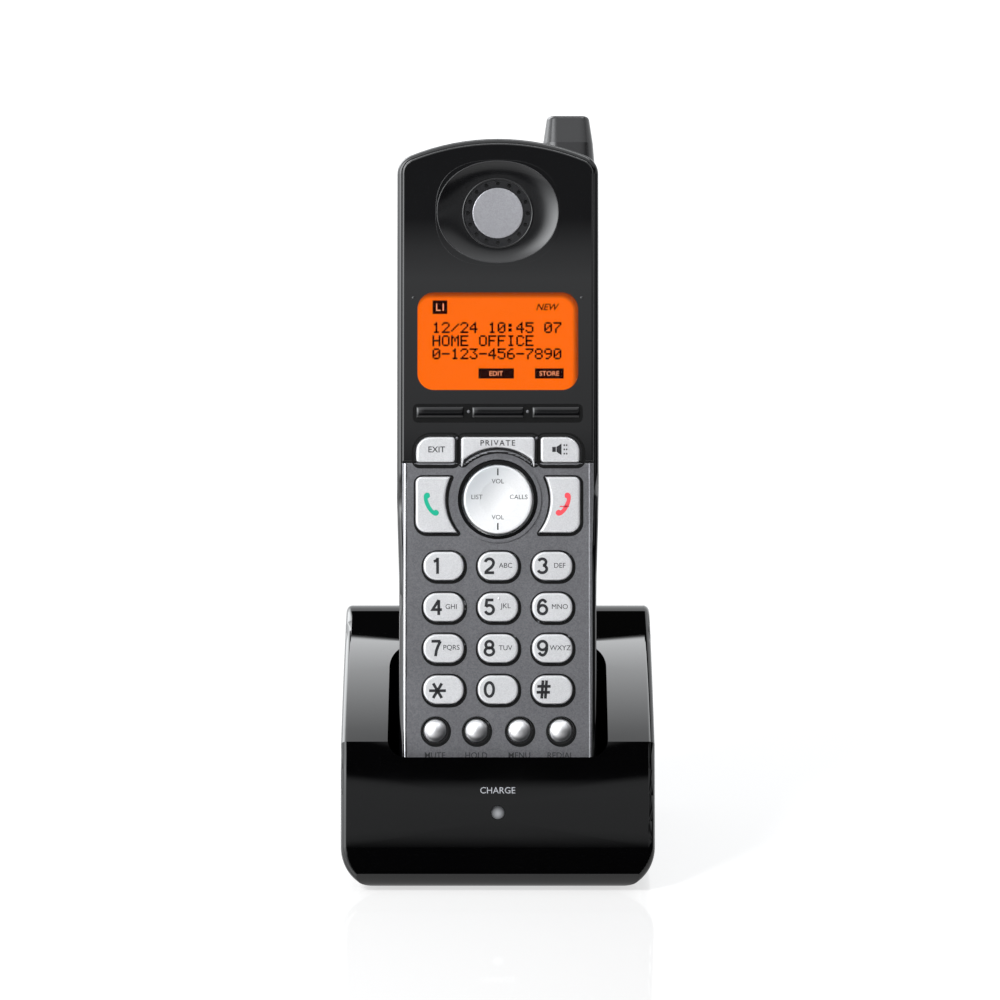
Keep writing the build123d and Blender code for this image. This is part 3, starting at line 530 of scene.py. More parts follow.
def outlineMesh(outlines):
    # closed outlines, each a list of (x, y) in millimetres, turned to prisms from z = 0 to 1
    shape = bmesh.new()
    for outline in outlines:
        lower = [shape.verts.new((x, y, 0)) for x, y in outline]
        face = shape.faces.new(lower)
        grown = bmesh.ops.extrude_face_region(shape, geom=[face])
        for item in grown["geom"]:
            if isinstance(item, bmesh.types.BMVert):
                item.co.z = 1.0
    return meshFrom(shape, "outline")


surfaceOf = {}


def surfaceUnder(node, x, height):
    # depth of a node's front at a place on the handset, in millimetres
    if node not in surfaceOf:
        data = frame["nodes"][node].data
        data.calc_loop_triangles()
        corners = [tuple(vertex.co) for vertex in data.vertices]
        triangles = [tuple(triangle.vertices) for triangle in data.loop_triangles]
        surfaceOf[node] = BVHTree.FromPolygons(corners, triangles)
    start = onHandset(x, height, -printing["castFrom"])
    place, _, _, distance = surfaceOf[node].ray_cast(start, intoFace)
    return None if place is None else distance / mm - printing["castFrom"]


def cutFine(shaped):
    # cuts flat shapes on a grid, so that they can follow a crowned surface
    cut = bmesh.new()
    cut.from_mesh(shaped)
    for axis in (0, 1):
        places = [vertex.co[axis] for vertex in cut.verts]
        steps = int((max(places) - min(places)) / printing["cell"])
        for step in range(1, steps + 1):
            at, facing = [0.0] * 3, [0.0] * 3
            at[axis], facing[axis] = min(places) + step * printing["cell"], 1.0
            everything = list(cut.verts) + list(cut.edges) + list(cut.faces)
            bmesh.ops.bisect_plane(cut, geom=everything, plane_co=at, plane_no=facing)
    cut.to_mesh(shaped)
    cut.free()


def printOn(name, shaped, node, body, ink, x, height):
    # lays flat mesh on a node's front, following its surface, and rides it on the body
    cutFine(shaped)
    places = [(x + vertex.co.x, height + vertex.co.y) for vertex in shaped.vertices]
    depths = [surfaceUnder(node, *place) for place in places]
    found = sorted(depth for depth in depths if depth is not None)
    usual = found[len(found) // 2]
    for vertex, place, depth in zip(shaped.vertices, places, depths):
        if depth is None or abs(depth - usual) > printing["mostFall"]:
            depth = usual
        depth += printing["sunk"] - vertex.co.z * printing["thickness"]
        vertex.co = onHandset(*place, depth)
    shaped.materials.clear()
    shaped.materials.append(ink)
    shaped.name = name
    turnOutwards(shaped, merge=mergeWithin)
    return placePiece(name, shaped, body)


def chaikin(outline, rounds=2):
    # rounds an outline by cutting its corners
    for _ in range(rounds):
        cut = []
        for here, after in zip(outline, outline[1:] + outline[:1]):
            for share in (0.25, 0.75):
                cut.append(tuple(a + (b - a) * share for a, b in zip(here, after)))
        outline = cut
    return outline


def bar(x0, x1, y0, y1):
    return [(x0, y0), (x1, y0), (x1, y1), (x0, y1)]


def arc(cx, cy, rx, ry, start, end, steps=16):
    angles = [math.radians(start + (end - start) * step / steps) for step in range(steps + 1)]
    return [(cx + rx * math.cos(angle), cy + ry * math.sin(angle)) for angle in angles]


def penMesh(paths, halfX, halfY, stroke):
    # strokes of one width along each path, given in a square from -1 to 1
    shape = bmesh.new()
    for path in paths:
        points = [Vector((x * halfX, y * halfY)) for x, y in path]
        closed = (points[0] - points[-1]).length < 0.01
        if closed:
            points.pop()
        last = len(points) - 1
        rows = []
        for place, point in enumerate(points):
            before = points[place - 1] if place or closed else point
            after = points[(place + 1) % len(points)] if place < last or closed else point
            into = (point - before).normalized() if (point - before).length else (after - point).normalized()
            out = (after - point).normalized() if (after - point).length else into
            side = Vector((-(into + out).y, (into + out).x)).normalized()
            reach = stroke / 2 / max(0.5, side.dot(Vector((-into.y, into.x))))
            near, far = point + side * reach, point - side * reach
            corners = [(near, 0), (far, 0), (far, 1), (near, 1)]
            rows.append([shape.verts.new((spot.x, spot.y, z)) for spot, z in corners])
        if not closed:
            shape.faces.new(rows[0])
            shape.faces.new(rows[-1])
        skin(shape, rows, closed)
    return meshFrom(shape, "figure")


figures = {
    "0": [arc(0, 0, 1, 1, 90, 450, 28)],
    "1": [[(0.3, -1.15), (0.3, 1.15)], [(0.3, 0.95), (-0.05, 0.72), (-0.6, 0.62)]],
    "2": [arc(0, 0.42, 0.97, 0.58, 168, 0)
          + [(0.86, 0.12), (0.5, -0.2), (-0.35, -0.6), (-0.78, -0.86), (-0.9, -1.0)],
          [(-1.15, -1.0), (1.1, -1.0)]],
    "3": [arc(-0.05, 0.52, 0.88, 0.48, 160, -78), arc(-0.05, -0.46, 1.03, 0.54, 82, -160)],
    "4": [[(0.42, -1.15), (0.42, 1.0)], [(0.42, 1.0), (-1.0, -0.38), (1.15, -0.38)]],
    "5": [[(0.95, 1.0), (-0.6, 1.0), (-0.82, 0.02)], arc(-0.02, -0.38, 1.0, 0.62, 140, -160)],
    "6": [arc(0, -0.38, 1.0, 0.62, 90, 450, 28), arc(0.02, -0.1, 1.02, 1.1, 180, 40)],
    "7": [[(-1.1, 1.0), (1.0, 1.0)], [(1.0, 1.0), (0.45, 0.35), (0.05, -0.35), (-0.15, -1.15)]],
    "8": [arc(0, 0.5, 0.84, 0.5, 90, 450, 24), arc(0, -0.46, 1.03, 0.54, 90, 450, 28)],
    "9": [arc(0, 0.38, 1.0, 0.62, -90, 270, 28), arc(-0.02, 0.1, 1.02, 1.1, 0, -140)],
    "#": [[(-0.42, -1.3), (-0.12, 1.3)], [(0.42, -1.3), (0.72, 1.3)],
          [(-1.45, 0.45), (1.65, 0.45)], [(-1.6, -0.4), (1.5, -0.4)]],
    "*": [[(-1.95, 0), (1.95, 0)], [(-1.0, -1.05), (1.0, 1.05)], [(-1.0, 1.05), (1.0, -1.05)]],
}
dialPrint = {
    "halfX": 1.06, "halfY": 1.72, "stroke": 0.7, "figureX": -2.08, "towardsMiddle": 0.022,
    "places": {"*": (-1.75, -0.3), "#": (-1.85, 0.0), "4": (-1.9, 0.0)},
    "groupHeight": 1.25, "groupX": {3: 1.9, 4: 1.98}, "groupRise": 0.1,
}
letterGroups = {
    "key_1": ("1", ""), "key_2": ("2", "ABC"), "key_3": ("3", "DEF"),
    "key_4": ("4", "GHI"), "key_5": ("5", "JKL"), "key_6": ("6", "MNO"),
    "key_7": ("7", "PQRS"), "key_8": ("8", "TUV"), "key_9": ("9", "WXYZ"),
    "key_star": ("*", ""), "key_0": ("0", ""), "key_hash": ("#", ""),
}
for node, (digit, group) in letterGroups.items():
    x, height = centreOf(node)
    shiftX, shiftUp = dialPrint["places"].get(digit, (dialPrint["figureX"], 0.0))
    shaped = penMesh(figures[digit], dialPrint["halfX"], dialPrint["halfY"], dialPrint["stroke"])
    shiftX -= x * dialPrint["towardsMiddle"]
    printOn(node + "_digit", shaped, node, node, inks["key"], x + shiftX, height + shiftUp)
    if group:
        shaped = wordMesh(group, dialPrint["groupHeight"])
        asideX, rise = dialPrint["groupX"][len(group)], dialPrint["groupRise"]
        printOn(node + "_letters", shaped, node, node, inks["key"], x + asideX, height + rise)

# handset icons on the call keys: one outline, turned and mirrored
callIcon = {
    "turn": 27.0, "scale": 0.98, "talkX": -1.5, "endX": 1.25, "rise": -0.1,
    "strokeHalf": 1.15, "strokeThick": 0.3, "strokeDrop": 0.5,
}
handsetOutline = chaikin([
    (0.85, 1.7), (1.25, 2.75), (0.4, 3.3), (-0.45, 2.85), (-1.0, 1.4), (-1.15, 0), (-1.0, -1.4),
    (-0.45, -2.85), (0.4, -3.3), (1.25, -2.75), (0.85, -1.7), (0.1, -1.75), (-0.05, -0.85), (-0.1, 0),
    (-0.05, 0.85), (0.1, 1.75),
])


def callOutline(mirrored):
    turn = math.radians(callIcon["turn"])
    points = []
    for x, y in handsetOutline:
        turnedX = (x * math.cos(turn) - y * math.sin(turn)) * callIcon["scale"]
        turnedY = (x * math.sin(turn) + y * math.cos(turn)) * callIcon["scale"]
        points.append((-turnedX if mirrored else turnedX, turnedY))
    return points


for node, ink, mirrored, shift in (
    ("talk_key", "talk", False, callIcon["talkX"]), ("end_key", "end", True, callIcon["endX"]),
):
    x, height = centreOf(node)
    shapes = [callOutline(mirrored)]
    printOn(node + "_icon", outlineMesh(shapes), node, node, inks[ink], x + shift, height + callIcon["rise"])
endX, endHeight = centreOf("end_key")
halfLong, halfThick = callIcon["strokeHalf"], callIcon["strokeThick"] / 2
stroke = outlineMesh([bar(-halfLong, halfLong, -halfThick, halfThick)])
strokeHeight = endHeight - callIcon["strokeDrop"]
printOn("end_key_stroke", stroke, "end_key", "end_key", inks["end"], endX + callIcon["endX"], strokeHeight)

# words and marks on the line keys, the navigation key, the fascia and the cradle
speakerIcon = [
    bar(-1.75, -0.85, -0.62, 0.62),
    [(-0.7, -0.62), (0.55, -1.45), (0.55, 1.45), (-0.7, 0.62)],
]
for row in (-1.05, 0.0, 1.05):
    speakerIcon += [bar(1.05, 1.4, row - 0.2, row + 0.2), bar(1.65, 2.0, row - 0.2, row + 0.2)]
lineKeyPrint = {
    "exit_word": ("exit_key", wordMesh("EXIT", 1.5, 0.02), 0.3, 0.0),
    "private_word": ("privacy_key", wordMesh("PRIVATE", 1.4, 0.02, 1.25), 0.0, 1.95),
    "speaker_mark": ("speaker_key", outlineMesh(speakerIcon), -0.2, 0.0),
}
for name, (node, shaped, aside, up) in lineKeyPrint.items():
    x, height = centreOf(node)
    printOn(name, shaped, node, node, inks["key"], x + aside, height + up)

navPrint = {
    "tickAt": 6.75, "tickHalf": 0.17, "tickLong": 0.85, "volAt": 4.45, "volHeight": 1.15,
    "sideAt": 5.15, "sideHeight": 1.15, "sideRise": 0.55,
}
navX, navHeight = centreOf("navigation_key")


def navTick():
    half, long = navPrint["tickHalf"], navPrint["tickLong"]
    return outlineMesh([bar(-half, half, -long, long)])


navMarks = {
    "nav_tick_up": (navTick(), 0, navPrint["tickAt"]),
    "nav_tick_down": (navTick(), 0, -navPrint["tickAt"]),
    "nav_word_up": (wordMesh("VOL", navPrint["volHeight"]), 0, navPrint["volAt"]),
    "nav_word_down": (wordMesh("VOL", navPrint["volHeight"]), 0, -navPrint["volAt"]),
    "nav_word_left": (wordMesh("LIST", navPrint["sideHeight"]), -navPrint["sideAt"], navPrint["sideRise"]),
    "nav_word_right": (wordMesh("CALLS", navPrint["sideHeight"]), navPrint["sideAt"], navPrint["sideRise"]),
}
for name, (shaped, aside, up) in navMarks.items():
    printOn(name, shaped, "navigation_key", "navigation_key", inks["key"], navX + aside, navHeight + up)

fasciaPrint = {
    "height": 1.45, "drop": 6.05,
    "words": {"mute_key": "MUTE", "hold_key": "HOLD", "menu_key": "MENU", "redial_key": "REDIAL"},
}
for node, words in fasciaPrint["words"].items():
    x, height = centreOf(node)
    shaped = wordMesh(words, fasciaPrint["height"], 0.015)
    height -= fasciaPrint["drop"]
    printOn(node + "_word", shaped, "keypad_fascia", "handset", inks["fascia"], x, height)
chargeWord = wordMesh("CHARGE", printing["chargeTall"])
printOn("charge_word", chargeWord, "cradle_housing", "cradle", inks["cradle"], 0.0, printing["chargeHeight"])
print("stage 3: legends")

# Display: a dot matrix, marked cells and fixed signs
dotFont = {
    "0": "0E11131519110E", "1": "040C040404040E", "2": "0E11010204081F", "3": "1F02040201110E",
    "4": "02060A121F0202", "5": "1F101E0101110E", "6": "0608101E11110E", "7": "1F010204080808",
    "8": "0E11110E11110E", "9": "0E11110F01020C", "/": "00010204081000", ":": "000C0C000C0C00",
    "-": "0000001F000000", "A": "0E1111111F1111", "C": "0E11101010110E", "E": "1F10101E10101F",
    "F": "1F10101E101010", "H": "1111111F111111", "I": "0E04040404040E", "M": "111B1515111111",
    "O": "0E11111111110E", " ": "00000000000000",
}
display = {
    "pitch": 0.385, "dotShare": 1.2, "left": -16.2, "top": 117.55, "lineStep": 3.27, "proud": 0.035,
    "lines": ["12/24 10:45 07", "HOME OFFICE", "0-123-456-7890"], "lift": 0.01, "litShare": 0.8,
    "signTall": 1.65, "signBold": 0.03, "signSlant": 0.3, "signX": 12.4, "signHeight": 121.35,
}


def newTree(name, inputs):
    # a geometry tree with named inputs, and their identifiers in the same order
    tree = bpy.data.node_groups.new(name, "GeometryNodeTree")
    tree.interface.new_socket("Geometry", in_out="INPUT", socket_type="NodeSocketGeometry")
    sockets = [tree.interface.new_socket(label, in_out="INPUT", socket_type=kind) for label, kind in inputs]
    tree.interface.new_socket("Geometry", in_out="OUTPUT", socket_type="NodeSocketGeometry")
    given, result = tree.nodes.new("NodeGroupInput"), tree.nodes.new("NodeGroupOutput")
    return tree, given, result, [socket.identifier for socket in sockets]


def finishTree(tree, geometry, material, result):
    # the last two nodes of every tree: real geometry, then its material
    realise = tree.nodes.new("GeometryNodeRealizeInstances")
    paint = tree.nodes.new("GeometryNodeSetMaterial")
    tree.links.new(geometry, realise.inputs["Geometry"])
    join(tree, (realise, "Geometry", paint, "Geometry"))
    tree.links.new(material, paint.inputs["Material"])
    join(tree, (paint, "Geometry", result, "Geometry"))


def dotTree():
    # a small raised square on every given point
    tree, given, result, names = newTree("displayDots", [
        ("Side", "NodeSocketFloat"), ("Thickness", "NodeSocketFloat"), ("Ink", "NodeSocketMaterial"),
    ])
    size = tree.nodes.new("ShaderNodeCombineXYZ")
    square = tree.nodes.new("GeometryNodeMeshCube")
    onPoints = tree.nodes.new("GeometryNodeInstanceOnPoints")
    join(
        tree, (given, "Side", size, "X"), (given, "Side", size, "Y"), (given, "Thickness", size, "Z"),
        (size, "Vector", square, "Size"), (given, "Geometry", onPoints, "Points"),
        (square, "Mesh", onPoints, "Instance"),
    )
    finishTree(tree, onPoints.outputs["Instances"], given.outputs["Ink"], result)
    return [tree] + names


def bakeTree(name, start, tree, values):
    # runs a node tree on a starting mesh and keeps the result as a plain mesh
    holder = addObject(name, start)
    modifier = holder.modifiers.new(name, "NODES")
    modifier.node_group = tree
    for identifier, value in values.items():
        modifier[identifier] = value
    bpy.context.view_layer.update()
    shaped = bpy.data.meshes.new_from_object(holder.evaluated_get(bpy.context.evaluated_depsgraph_get()))
    holder.modifiers.remove(modifier)
    bpy.data.objects.remove(holder)
    shaped.name = name
    return shaped


def dotPlaces():
    places = []
    for line, words in enumerate(display["lines"]):
        for column, letter in enumerate(words):
            rows = bytes.fromhex(dotFont[letter])
            for row, bits in enumerate(rows):
                for dot in range(5):
                    if bits >> (4 - dot) & 1:
                        x = display["left"] + (column * 6 + dot + 0.5) * display["pitch"]
                        lineTop = display["top"] - line * display["lineStep"]
                        places.append((x, lineTop - (row + 0.5) * display["pitch"], 0))
    return places


def onPanel(shaped, x, height, ink, name, proud=0.0):
    # lays flat mesh, in millimetres, on the display panel behind its window
    depth = surfaceUnder("lcd_panel", *centreOf("lcd_panel")) - proud
    for vertex in shaped.vertices:
        px, py, pz = vertex.co
        vertex.co = onHandset(x + px, height + py, depth + display["lift"] - pz * display["proud"])
    if ink:
        shaped.materials.clear()
        shaped.materials.append(ink)
    turnOutwards(shaped)
    shaped.name = name
    return placePiece(name, shaped, "handset")


points = bpy.data.meshes.new("dotPoints")
points.from_pydata(dotPlaces(), [], [])
dots, sideInput, thickInput, inkInput = dotTree()
matrix = bakeTree("display_dots", points, dots, {
    sideInput: display["pitch"] * display["dotShare"], thickInput: 1.0, inkInput: inks["lcd"],
})
onPanel(matrix, 0.0, 0.0, None, "display_dots")

# marked cells: dark bars with glowing words, and a leaning sign
cells = {
    "display_line": (-16.2, -12.55, 119.6, 123.0, "L1", 1.9),
    "display_edit": (-4.8, 4.0, 103.5, 106.05, "EDIT", 1.2),
    "display_store": (9.2, 16.35, 103.5, 106.05, "STORE", 1.2),
}
for name, (x0, x1, low, high, words, tall) in cells.items():
    middleX, middleHeight = (x0 + x1) / 2, (low + high) / 2
    wide, long = (x1 - x0) / 2, (high - low) / 2
    onPanel(outlineMesh([bar(-wide, wide, -long, long)]), middleX, middleHeight, inks["lcd"], name)
    litProud = display["proud"] * display["litShare"]
    onPanel(wordMesh(words, tall), middleX, middleHeight, inks["lit"], name + "_word", litProud)
sign = wordMesh("NEW", display["signTall"], display["signBold"])
for vertex in sign.vertices:
    vertex.co.x += vertex.co.y * display["signSlant"]
onPanel(sign, display["signX"], display["signHeight"], inks["lcd"], "display_sign")
print("stage 4: display,", len(matrix.polygons) // 6, "dots")

# Painted shadow: dark rings round the key openings in the fascia, standing in for the shade in the gaps,
# shifted to the lower right as a cast shadow
paintedShadow = {
    "width": 0.42, "shadowShiftX": 0.18, "shadowShiftUp": -0.25, "keyClear": 0.02, "keyWidth": 0.66,
    "navOuter": 10.0, "largest": 19.2, "leastCorners": 8, "panelSpan": 24.0, "nearNav": 1.5,
    "leastWidth": 0.05, "facing": 0.985,
}


def openingsOf(node):
    # closed outlines of the openings in a node's front face, as (across, height) in millimetres
    front = bmesh.new()
    front.from_mesh(frame["nodes"][node].data)
    bmesh.ops.remove_doubles(front, verts=front.verts, dist=mergeWithin)
    facing = [face for face in front.faces if face.normal.dot(intoFace) < -paintedShadow["facing"]]
    known = set(facing)     # looked up only: the list's order numbers the openings alike in every run
    after = {}
    for face in facing:
        for loop in face.loops:
            others = [other for other in loop.edge.link_faces if other is not face]
            if not any(other in known for other in others):
                after[loop.vert] = loop.link_loop_next.vert
    outlines = []
    while after:
        start = next(iter(after))
        walk = [start]
        vertex = after.pop(start)
        while vertex is not start and vertex in after:
            walk.append(vertex)
            vertex = after.pop(vertex)
        outlines.append([(spot.co.x / mm, (spot.co.dot(upHandset) - footLevel) / mm) for spot in walk])
    front.free()
    return outlines


def ringMesh(inner, width, shadowShiftX, shadowShiftUp):
    # a flat ring round an outline, shifted towards one side, where the painted shadow falls
    area = sum(a[0] * b[1] - b[0] * a[1] for a, b in zip(inner, inner[1:] + inner[:1]))
    sign = 1 if area > 0 else -1
    outer = []
    for before, here, after in zip(inner[-1:] + inner[:-1], inner, inner[1:] + inner[:1]):
        run = Vector(after) - Vector(before)
        out = Vector((run.y, -run.x)).normalized() * sign
        outer.append((here[0] + out.x * width + shadowShiftX, here[1] + out.y * width + shadowShiftUp))
    shape = bmesh.new()
    rows = [[shape.verts.new((*spot, z)) for spot, z in ((near, 0), (near, 1), (far, 1), (far, 0))]
            for near, far in zip(inner, outer)]
    skin(shape, rows, closed=True)
    return meshFrom(shape, "ring")


def spanOf(outline):
    xs, ys = [spot[0] for spot in outline], [spot[1] for spot in outline]
    return min(xs), max(xs), min(ys), max(ys)


rings = 0
for outline in openingsOf("keypad_fascia"):
    x0, x1, low, high = spanOf(outline)
    if len(outline) < paintedShadow["leastCorners"] or max(x1 - x0, high - low) > paintedShadow["panelSpan"]:
        continue
    offX, offUp = abs((x0 + x1) / 2 - navX), abs((low + high) / 2 - navHeight)
    aroundNav = max(offX, offUp) < paintedShadow["nearNav"]
    if aroundNav and x1 - x0 > paintedShadow["largest"]:
        continue
    width = paintedShadow["navOuter"] - (x1 - x0) / 2 if aroundNav else paintedShadow["width"]
    if width <= paintedShadow["leastWidth"]:
        continue
    rings += 1
    shaped = ringMesh(outline, width, paintedShadow["shadowShiftX"], paintedShadow["shadowShiftUp"])
    printOn("gasket_%d" % rings, shaped, "keypad_fascia", "handset", inks["shade"], 0.0, 0.0)
# painted shadow round the line keys as well
for node in ("exit_key", "privacy_key", "speaker_key"):
    outline = max(openingsOf(node), key=len)
    lower = [vertex.co for vertex in ringMesh(outline, paintedShadow["keyClear"], 0, 0).vertices if vertex.co.z == 0]
    around = [(spot.x, spot.y) for spot in lower[1::2]]
    rings += 1
    shaped = ringMesh(around, paintedShadow["keyWidth"], paintedShadow["shadowShiftX"], paintedShadow["shadowShiftUp"])
    printOn("gasket_%d" % rings, shaped, "keypad_fascia", "handset", inks["shade"], 0.0, 0.0)
print("stage 5: painted_shadows,", rings)

# Beads down both sides of the fascia; the left one has a lighter finish than the right, a painted highlight
bead = {"x": 22.8, "low": 2.5, "high": 82.2, "radius": 0.5, "depth": 0.3, "sides": 16}


def beadTree():
    # a round bar along every given run
    tree, given, result, names = newTree("sideBeads", [
        ("Radius", "NodeSocketFloat"), ("Finish", "NodeSocketMaterial"),
    ])
    along = tree.nodes.new("GeometryNodeMeshToCurve")
    section = tree.nodes.new("GeometryNodeCurvePrimitiveCircle")
    section.inputs["Resolution"].default_value = bead["sides"]
    swept = tree.nodes.new("GeometryNodeCurveToMesh")
    swept.inputs["Fill Caps"].default_value = True
    join(
        tree, (given, "Geometry", along, "Mesh"), (given, "Radius", section, "Radius"),
        (along, "Curve", swept, "Curve"), (section, "Curve", swept, "Profile Curve"),
    )
    finishTree(tree, swept.outputs["Mesh"], given.outputs["Finish"], result)
    return [tree] + names


beadNodes, beadRadius, beadFinish = beadTree()


def layOnFace(shaped, depth):
    for vertex in shaped.vertices:
        x, height, up = vertex.co
        vertex.co = onHandset(x, height, depth - up)


def roundBar(name, places, joined, radius, depth, finish, smooth):
    run = bpy.data.meshes.new("barRun")
    run.from_pydata([(x, height, 0) for x, height in places], joined, [])
    shaped = bakeTree(name, run, beadNodes, {beadRadius: radius, beadFinish: finishes[finish]})
    layOnFace(shaped, depth)
    turnOutwards(shaped, smooth=smooth)
    placePiece(name, shaped, "handset")


for name, x, finish in (
    ("fascia_bead_left", -bead["x"], "bead_painted_highlight"), ("fascia_bead_right", bead["x"], "fascia_gunmetal"),
):
    roundBar(name, [(x, bead["low"]), (x, bead["high"])], [(0, 1)], bead["radius"], bead["depth"], finish,
             lambda face: len(face.verts) == 4)

# Satin bowl round the earpiece, with a fine rim
bowl = {
    "width": 30.1, "height": 25.4, "squareness": 2.08, "ringRadius": 8.75, "depth": 1.02, "hollow": 2.2,
    "around": 96, "down": 12, "rimRadius": 0.14, "rimDepth": 0.05, "raise": 0.25, "proud": 0.02,
    "stepRadius": 8.6, "stepSize": 0.3, "stepDepth": 0.95,
    "collarWidth": 30.8, "collarHeight": 26.4, "collarSquareness": 2.6,
    "collarSpread": 0.3, "collarSunk": 0.06,
}
bowlX, bowlHeight = centreOf("earpiece_grille")
bowlHeight += bowl["raise"]


def oval(turn, width, height, squareness):
    c, s = math.cos(turn), math.sin(turn)
    return (math.copysign(abs(c) ** (2 / squareness), c) * width / 2,
            math.copysign(abs(s) ** (2 / squareness), s) * height / 2)


def ovalPoint(turn, share):
    # from the rim (0) to the round inner edge (1)
    c, s = math.cos(turn), math.sin(turn)
    rimX, rimY = oval(turn, bowl["width"], bowl["height"], bowl["squareness"])
    return rimX + (c * bowl["ringRadius"] - rimX) * share, rimY + (s * bowl["ringRadius"] - rimY) * share


def facePiece(name, rows, finish, smooth):
    # a skin through closed rows of (across, height, depth) places on the handset's face
    shape = bmesh.new()
    rows = [[shape.verts.new(onHandset(*spot)) for spot in row] for row in rows]
    skin(shape, rows)
    for face in shape.faces:
        face.normal_update()
        face.smooth = smooth
        if face.normal.dot(intoFace) > 0:
            face.normal_flip()
    shaped = meshFrom(shape, name, outwards=False)
    shaped.materials.append(finish)
    placePiece(name, shaped, "handset")


turns = [2 * math.pi * place / bowl["around"] for place in range(bowl["around"])]
rows = []
for step in range(bowl["down"] + 1):
    share = step / bowl["down"]
    depth = bowl["depth"] * (1 - (1 - share) ** bowl["hollow"]) - bowl["proud"]
    places = [ovalPoint(turn, share) for turn in turns]
    rows.append([(bowlX + x, bowlHeight + y, depth) for x, y in places])
facePiece("earpiece_bowl", rows, finishes["bowl_satin"], True)
collar = []
for more, depth in ((bowl["collarSpread"], bowl["collarSunk"]), (0.0, -bowl["proud"])):
    wide, tall = bowl["collarWidth"] + more, bowl["collarHeight"] + more
    places = [oval(turn, wide, tall, bowl["collarSquareness"]) for turn in turns]
    collar.append([(bowlX + x, bowlHeight - bowl["raise"] + y, depth) for x, y in places])
facePiece("earpiece_collar", collar + rows[:1], finishes["bezel_black"], False)
rimPlaces = [ovalPoint(turn, 0) for turn in turns]
around = bowl["stepRadius"]
stepPlaces = [(around * math.cos(turn), around * math.sin(turn) - bowl["raise"]) for turn in turns]
for name, places, radius, deep, finish in (
    ("earpiece_rim", rimPlaces, bowl["rimRadius"], bowl["rimDepth"], "antenna_grey"),
    ("earpiece_step", stepPlaces, bowl["stepSize"], bowl["stepDepth"], "bowl_satin"),
):
    joined = [(place, (place + 1) % len(places)) for place in range(len(places))]
    places = [(bowlX + x, bowlHeight + y) for x, y in places]
    roundBar(name, places, joined, radius, deep, finish, lambda face: True)

# Crowned soft keys on a flat black band: painted shade standing in for a recess round them, reaching further
# below the bars as a painted shadow
softKeys = {
    "nodes": ("soft_key_left", "soft_key_middle", "soft_key_right"), "crown": 0.55, "steps": 14,
    "ends": [(0.0, 0.55), (0.12, 0.28), (0.35, 0.1), (0.55, 0.0)],
    "capDepth": 0.6, "skirt": 1.4, "archPower": 0.7,
    "shadeBandGrow": 0.75, "shadowDrop": 0.45, "shadeBandEnds": 0.9, "shadeBandCorner": 1.3,
}


def crownedBar(node):
    # a bar with an arched top across its height, closed at both ends
    data = frame["nodes"][node].data
    xs = [vertex.co.x / mm for vertex in data.vertices]
    depths = [(vertex.co.dot(intoFace) - faceLevel) / mm for vertex in data.vertices]
    front = min(depths)
    capHeights = [
        (vertex.co.dot(upHandset) - footLevel) / mm for vertex in data.vertices
        if (vertex.co.dot(intoFace) - faceLevel) / mm < front + softKeys["capDepth"]
    ]
    capXs = [x for x, depth in zip(xs, depths) if depth < front + softKeys["capDepth"]]
    low, high, left, right = min(capHeights), max(capHeights), min(capXs), max(capXs)
    half, middle, steps = (high - low) / 2, (high + low) / 2, softKeys["steps"]
    shape = bmesh.new()
    rows = []
    inset = softKeys["ends"]
    stations = [(left + a, drop) for a, drop in inset] + [(right - a, drop) for a, drop in reversed(inset)]
    for x, drop in stations:
        row = [shape.verts.new((x, middle + half, front + softKeys["skirt"]))]
        for step in range(steps + 1):
            angle = math.pi * step / steps
            rise = softKeys["crown"] * math.sin(angle) ** softKeys["archPower"] if 0 < step < steps else 0.0
            depth = front + softKeys["crown"] - rise * (1 - drop)
            row.append(shape.verts.new((x, middle + half * math.cos(angle), depth)))
        row.append(shape.verts.new((x, middle - half, front + softKeys["skirt"])))
        rows.append(row)
    skin(shape, rows)
    shape.faces.new(rows[0])
    shape.faces.new(rows[-1])
    for vertex in shape.verts:
        vertex.co = onHandset(*vertex.co)
    for face in shape.faces:
        face.smooth = True
    shaped = meshFrom(shape, node + "_bar")
    shaped.materials.append(finishes["key_black"])
    piece = placePiece(node + "_bar", shaped, node)
    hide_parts(node)
    return left, right, low, high


spans = [crownedBar(node) for node in softKeys["nodes"]]
# the painted shade band round all three bars
grow, drop, ends = softKeys["shadeBandGrow"], softKeys["shadowDrop"], softKeys["shadeBandEnds"]
x0, x1 = spans[0][0] - ends, spans[2][1] + ends
low, high = spans[0][2] - grow - drop, spans[0][3] + grow
corner = softKeys["shadeBandCorner"]
shadeBand = []
for cx, cy, start in (
    (x1 - corner, high - corner, 0), (x0 + corner, high - corner, 90),
    (x0 + corner, low + corner, 180), (x1 - corner, low + corner, 270),
):
    shadeBand += arc(cx, cy, corner, corner, start, start + 90, 8)
printOn("soft_key_channel", outlineMesh([shadeBand]), "display_bezel", "handset", inks["shade"], 0.0, 0.0)
print("stage 6: beads, bowl and soft keys")

